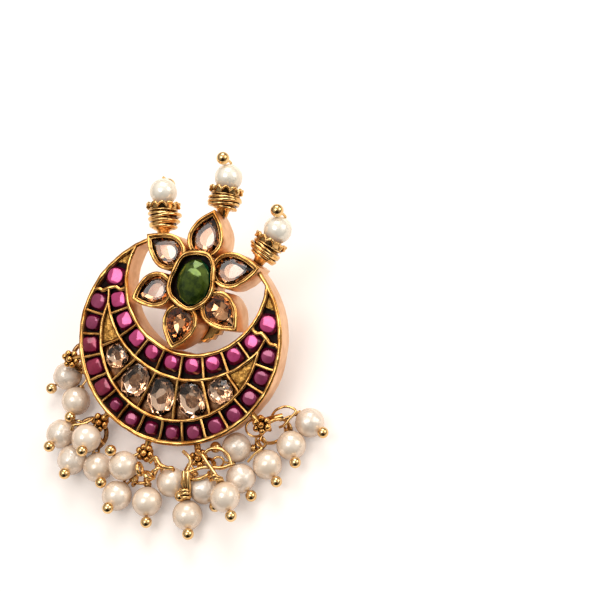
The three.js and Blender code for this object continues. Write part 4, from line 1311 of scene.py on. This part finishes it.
def makeCluster(name, seed):
    centre, hang, side = ringFrame(name)
    title = titled(name)
    drops = clusters[name]["drops"]
    bm = bmesh.new()
    for i, drop in enumerate(drops):
        makeDrop(bm, drop, centre, hang, side, seed * 10 + i)
    # the thin rings are bright wire gold, and the thick ones take the brown painted shade
    thickness, material = (jumpRing["thin"], 0) if name in jumpRing["thinOn"] else (jumpRing["wire"], 2)
    ringPath = circleAround(centre, side.cross(hang), jumpRing["radius"], 44)
    sweep(bm, ringPath, wire(thickness), closed=True, material=material)
    for thickness, path in bentWires[name]:
        sweep(bm, smoothPath([Vector(point) for point in path], 5), wire(thickness), sides=8)
    for thickness, radius, middle, axle in bentRings.get(name, []):
        sweep(bm, circleAround(Vector(middle), Vector(axle), radius, 24), wire(thickness), closed=True, sides=8)
    finishPiece(f"{title}RingAndPins", bm, lying, (wireGold, ballGold, shadedRingGold),
                [f"ring_and_pins_{name}"], sharp=60)
    for i, (_, at, _, _, skin) in enumerate(drops):
        bm = bmesh.new()
        ball(bm, Vector(at), pearl["radius"], 40, 26)
        roughen(bm, *pearlStray[skin], seed * 10 + i)
        material = pearlPitted if skin == "pitted" else pearlSmooth
        finishPiece(f"{title}Pearl{i + 1}", bm, lying, (material,), [f"drop_pearl_{name}_{i + 1}"],
                    sharp=noEdges)


for seed, name in enumerate(clusters):
    makeCluster(name, seed + 1)


print("earring: studio")

view = {"place": (50.12, -37.72, 146.46), "target": (14.08, 13.47, 6.0), "roll": 15.63, "lens": 60, "sensor": 36,
        "nearest": 0.005, "farthest": 20}
studio = {"floor": 2.0, "floorColour": (0.94, 0.88, 0.84), "floorGlow": 0.16}
# each softbox: place and target in metres, size, power and colour
softboxes = {
    "overheadSoftbox": ((-0.10, -0.09, 0.42), (-0.10, -0.09, 0), (0.20, 0.20), 0.45, (1, 1, 1)),
    "sideSoftbox": ((0.34, 0.22, 0.26), (0, 0, 0), (0.25, 0.25), 0.5, (1.0, 0.97, 0.93)),
    "topSoftbox": ((-0.08, 0.28, 0.30), (0, 0, 0), (0.2, 0.2), 0.6, (1.0, 0.98, 0.95)),
}
# bright overhead and dark towards the horizon, with a dark patch where someone stands; the ramps are (place, amount)
sky = {"height": ((0.0, 0.2), (0.25, 0.3), (0.5, 0.85), (0.8, 1.15), (1.0, 1.15)), "personAt": (0.35, -0.745, 0.566),
       "person": ((0.0, 1.0), (0.6, 1.0), (0.76, 0.6), (0.86, 0.35), (0.93, 0.03)), "tint": (1, 0.965, 0.93),
       "backdrop": (1.0, 0.97, 0.94), "light": 0.88, "glossy": 0.6}


def makeFloor():
    bm = bmesh.new()
    bmesh.ops.create_grid(bm, x_segments=1, y_segments=1, size=studio["floor"])
    mesh = bpy.data.meshes.new("floor")
    bm.to_mesh(mesh)
    bm.free()
    floor = bpy.data.objects.new("floor", mesh)
    bpy.context.collection.objects.link(floor)
    material, tree, shader = startMaterial("paleFloor")
    shader.inputs["Base Color"].default_value = (*studio["floorColour"], 1)
    shader.inputs["Roughness"].default_value = 0.7
    shader.inputs["Specular IOR Level"].default_value = 0.2
    # bright enough to look white
    seen = tree.nodes.new("ShaderNodeLightPath").outputs["Is Camera Ray"]
    tree.links.new(rangeNode(tree, seen, 0, 1, 0, studio["floorGlow"]), shader.inputs["Emission Strength"])
    shader.inputs["Emission Color"].default_value = (1, 1, 1, 1)
    mesh.materials.append(material)


def makeLight(name, place, target, size, power, colour):
    light = bpy.data.lights.new(name, "AREA")
    light.shape = "RECTANGLE"
    light.size, light.size_y = size
    light.energy = power
    light.color = colour
    lamp = bpy.data.objects.new(name, light)
    lamp.location = place
    lamp.rotation_mode = "QUATERNION"
    lamp.rotation_quaternion = (Vector(target) - Vector(place)).to_track_quat("-Z", "Y")
    bpy.context.collection.objects.link(lamp)


def rampNode(tree, value, stops):
    ramp = tree.nodes.new("ShaderNodeValToRGB")
    for _ in range(len(stops) - 2):
        ramp.color_ramp.elements.new(0.5)
    for element, (position, amount) in zip(ramp.color_ramp.elements, stops):
        element.position = position
        element.color = (*(amount * share for share in sky["tint"]), 1)
    tree.links.new(value, ramp.inputs["Fac"])
    return ramp.outputs["Color"]


def makeWorld():
    world = bpy.data.worlds.new("studioWorld")
    bpy.context.scene.world = world
    world.use_nodes = True
    tree = world.node_tree
    background = tree.nodes["Background"]
    direction = tree.nodes.new("ShaderNodeTexCoord").outputs["Generated"]
    apart = tree.nodes.new("ShaderNodeSeparateXYZ")
    tree.links.new(direction, apart.inputs["Vector"])
    facing = tree.nodes.new("ShaderNodeVectorMath")
    facing.operation = "DOT_PRODUCT"
    tree.links.new(direction, facing.inputs[0])
    facing.inputs[1].default_value = Vector(sky["personAt"]).normalized()
    height = rampNode(tree, apart.outputs["Z"], sky["height"])
    person = rampNode(tree, facing.outputs["Value"], sky["person"])
    both = mixNode(tree, 1.0, height, person, "MULTIPLY")
    rays = tree.nodes.new("ShaderNodeLightPath")
    colour = mixNode(tree, rays.outputs["Is Camera Ray"], both, (*sky["backdrop"], 1))
    tree.links.new(colour, background.inputs["Color"])
    # polished metal sees a dimmer room than the one that lights it
    strength = rangeNode(tree, rays.outputs["Is Glossy Ray"], 0, 1, sky["light"], sky["glossy"])
    tree.links.new(strength, background.inputs["Strength"])


def makeCamera():
    data = bpy.data.cameras.new("camera")
    data.lens = view["lens"]
    data.sensor_width = view["sensor"]
    data.clip_start = view["nearest"]
    data.clip_end = view["farthest"]
    camera = bpy.data.objects.new("camera", data)
    place = lying @ Vector(view["place"])
    target = lying @ Vector(view["target"])
    turn = (target - place).to_track_quat("-Z", "Y").to_matrix().to_4x4()
    camera.matrix_world = Matrix.Translation(place) @ turn @ Matrix.Rotation(-math.radians(view["roll"]), 4, "Z")
    bpy.context.collection.objects.link(camera)
    bpy.context.scene.camera = camera


makeFloor()
for name, row in softboxes.items():
    makeLight(name, *row)
makeWorld()
makeCamera()
bpy.context.scene.view_settings.view_transform = "Standard"

print("earring: done")
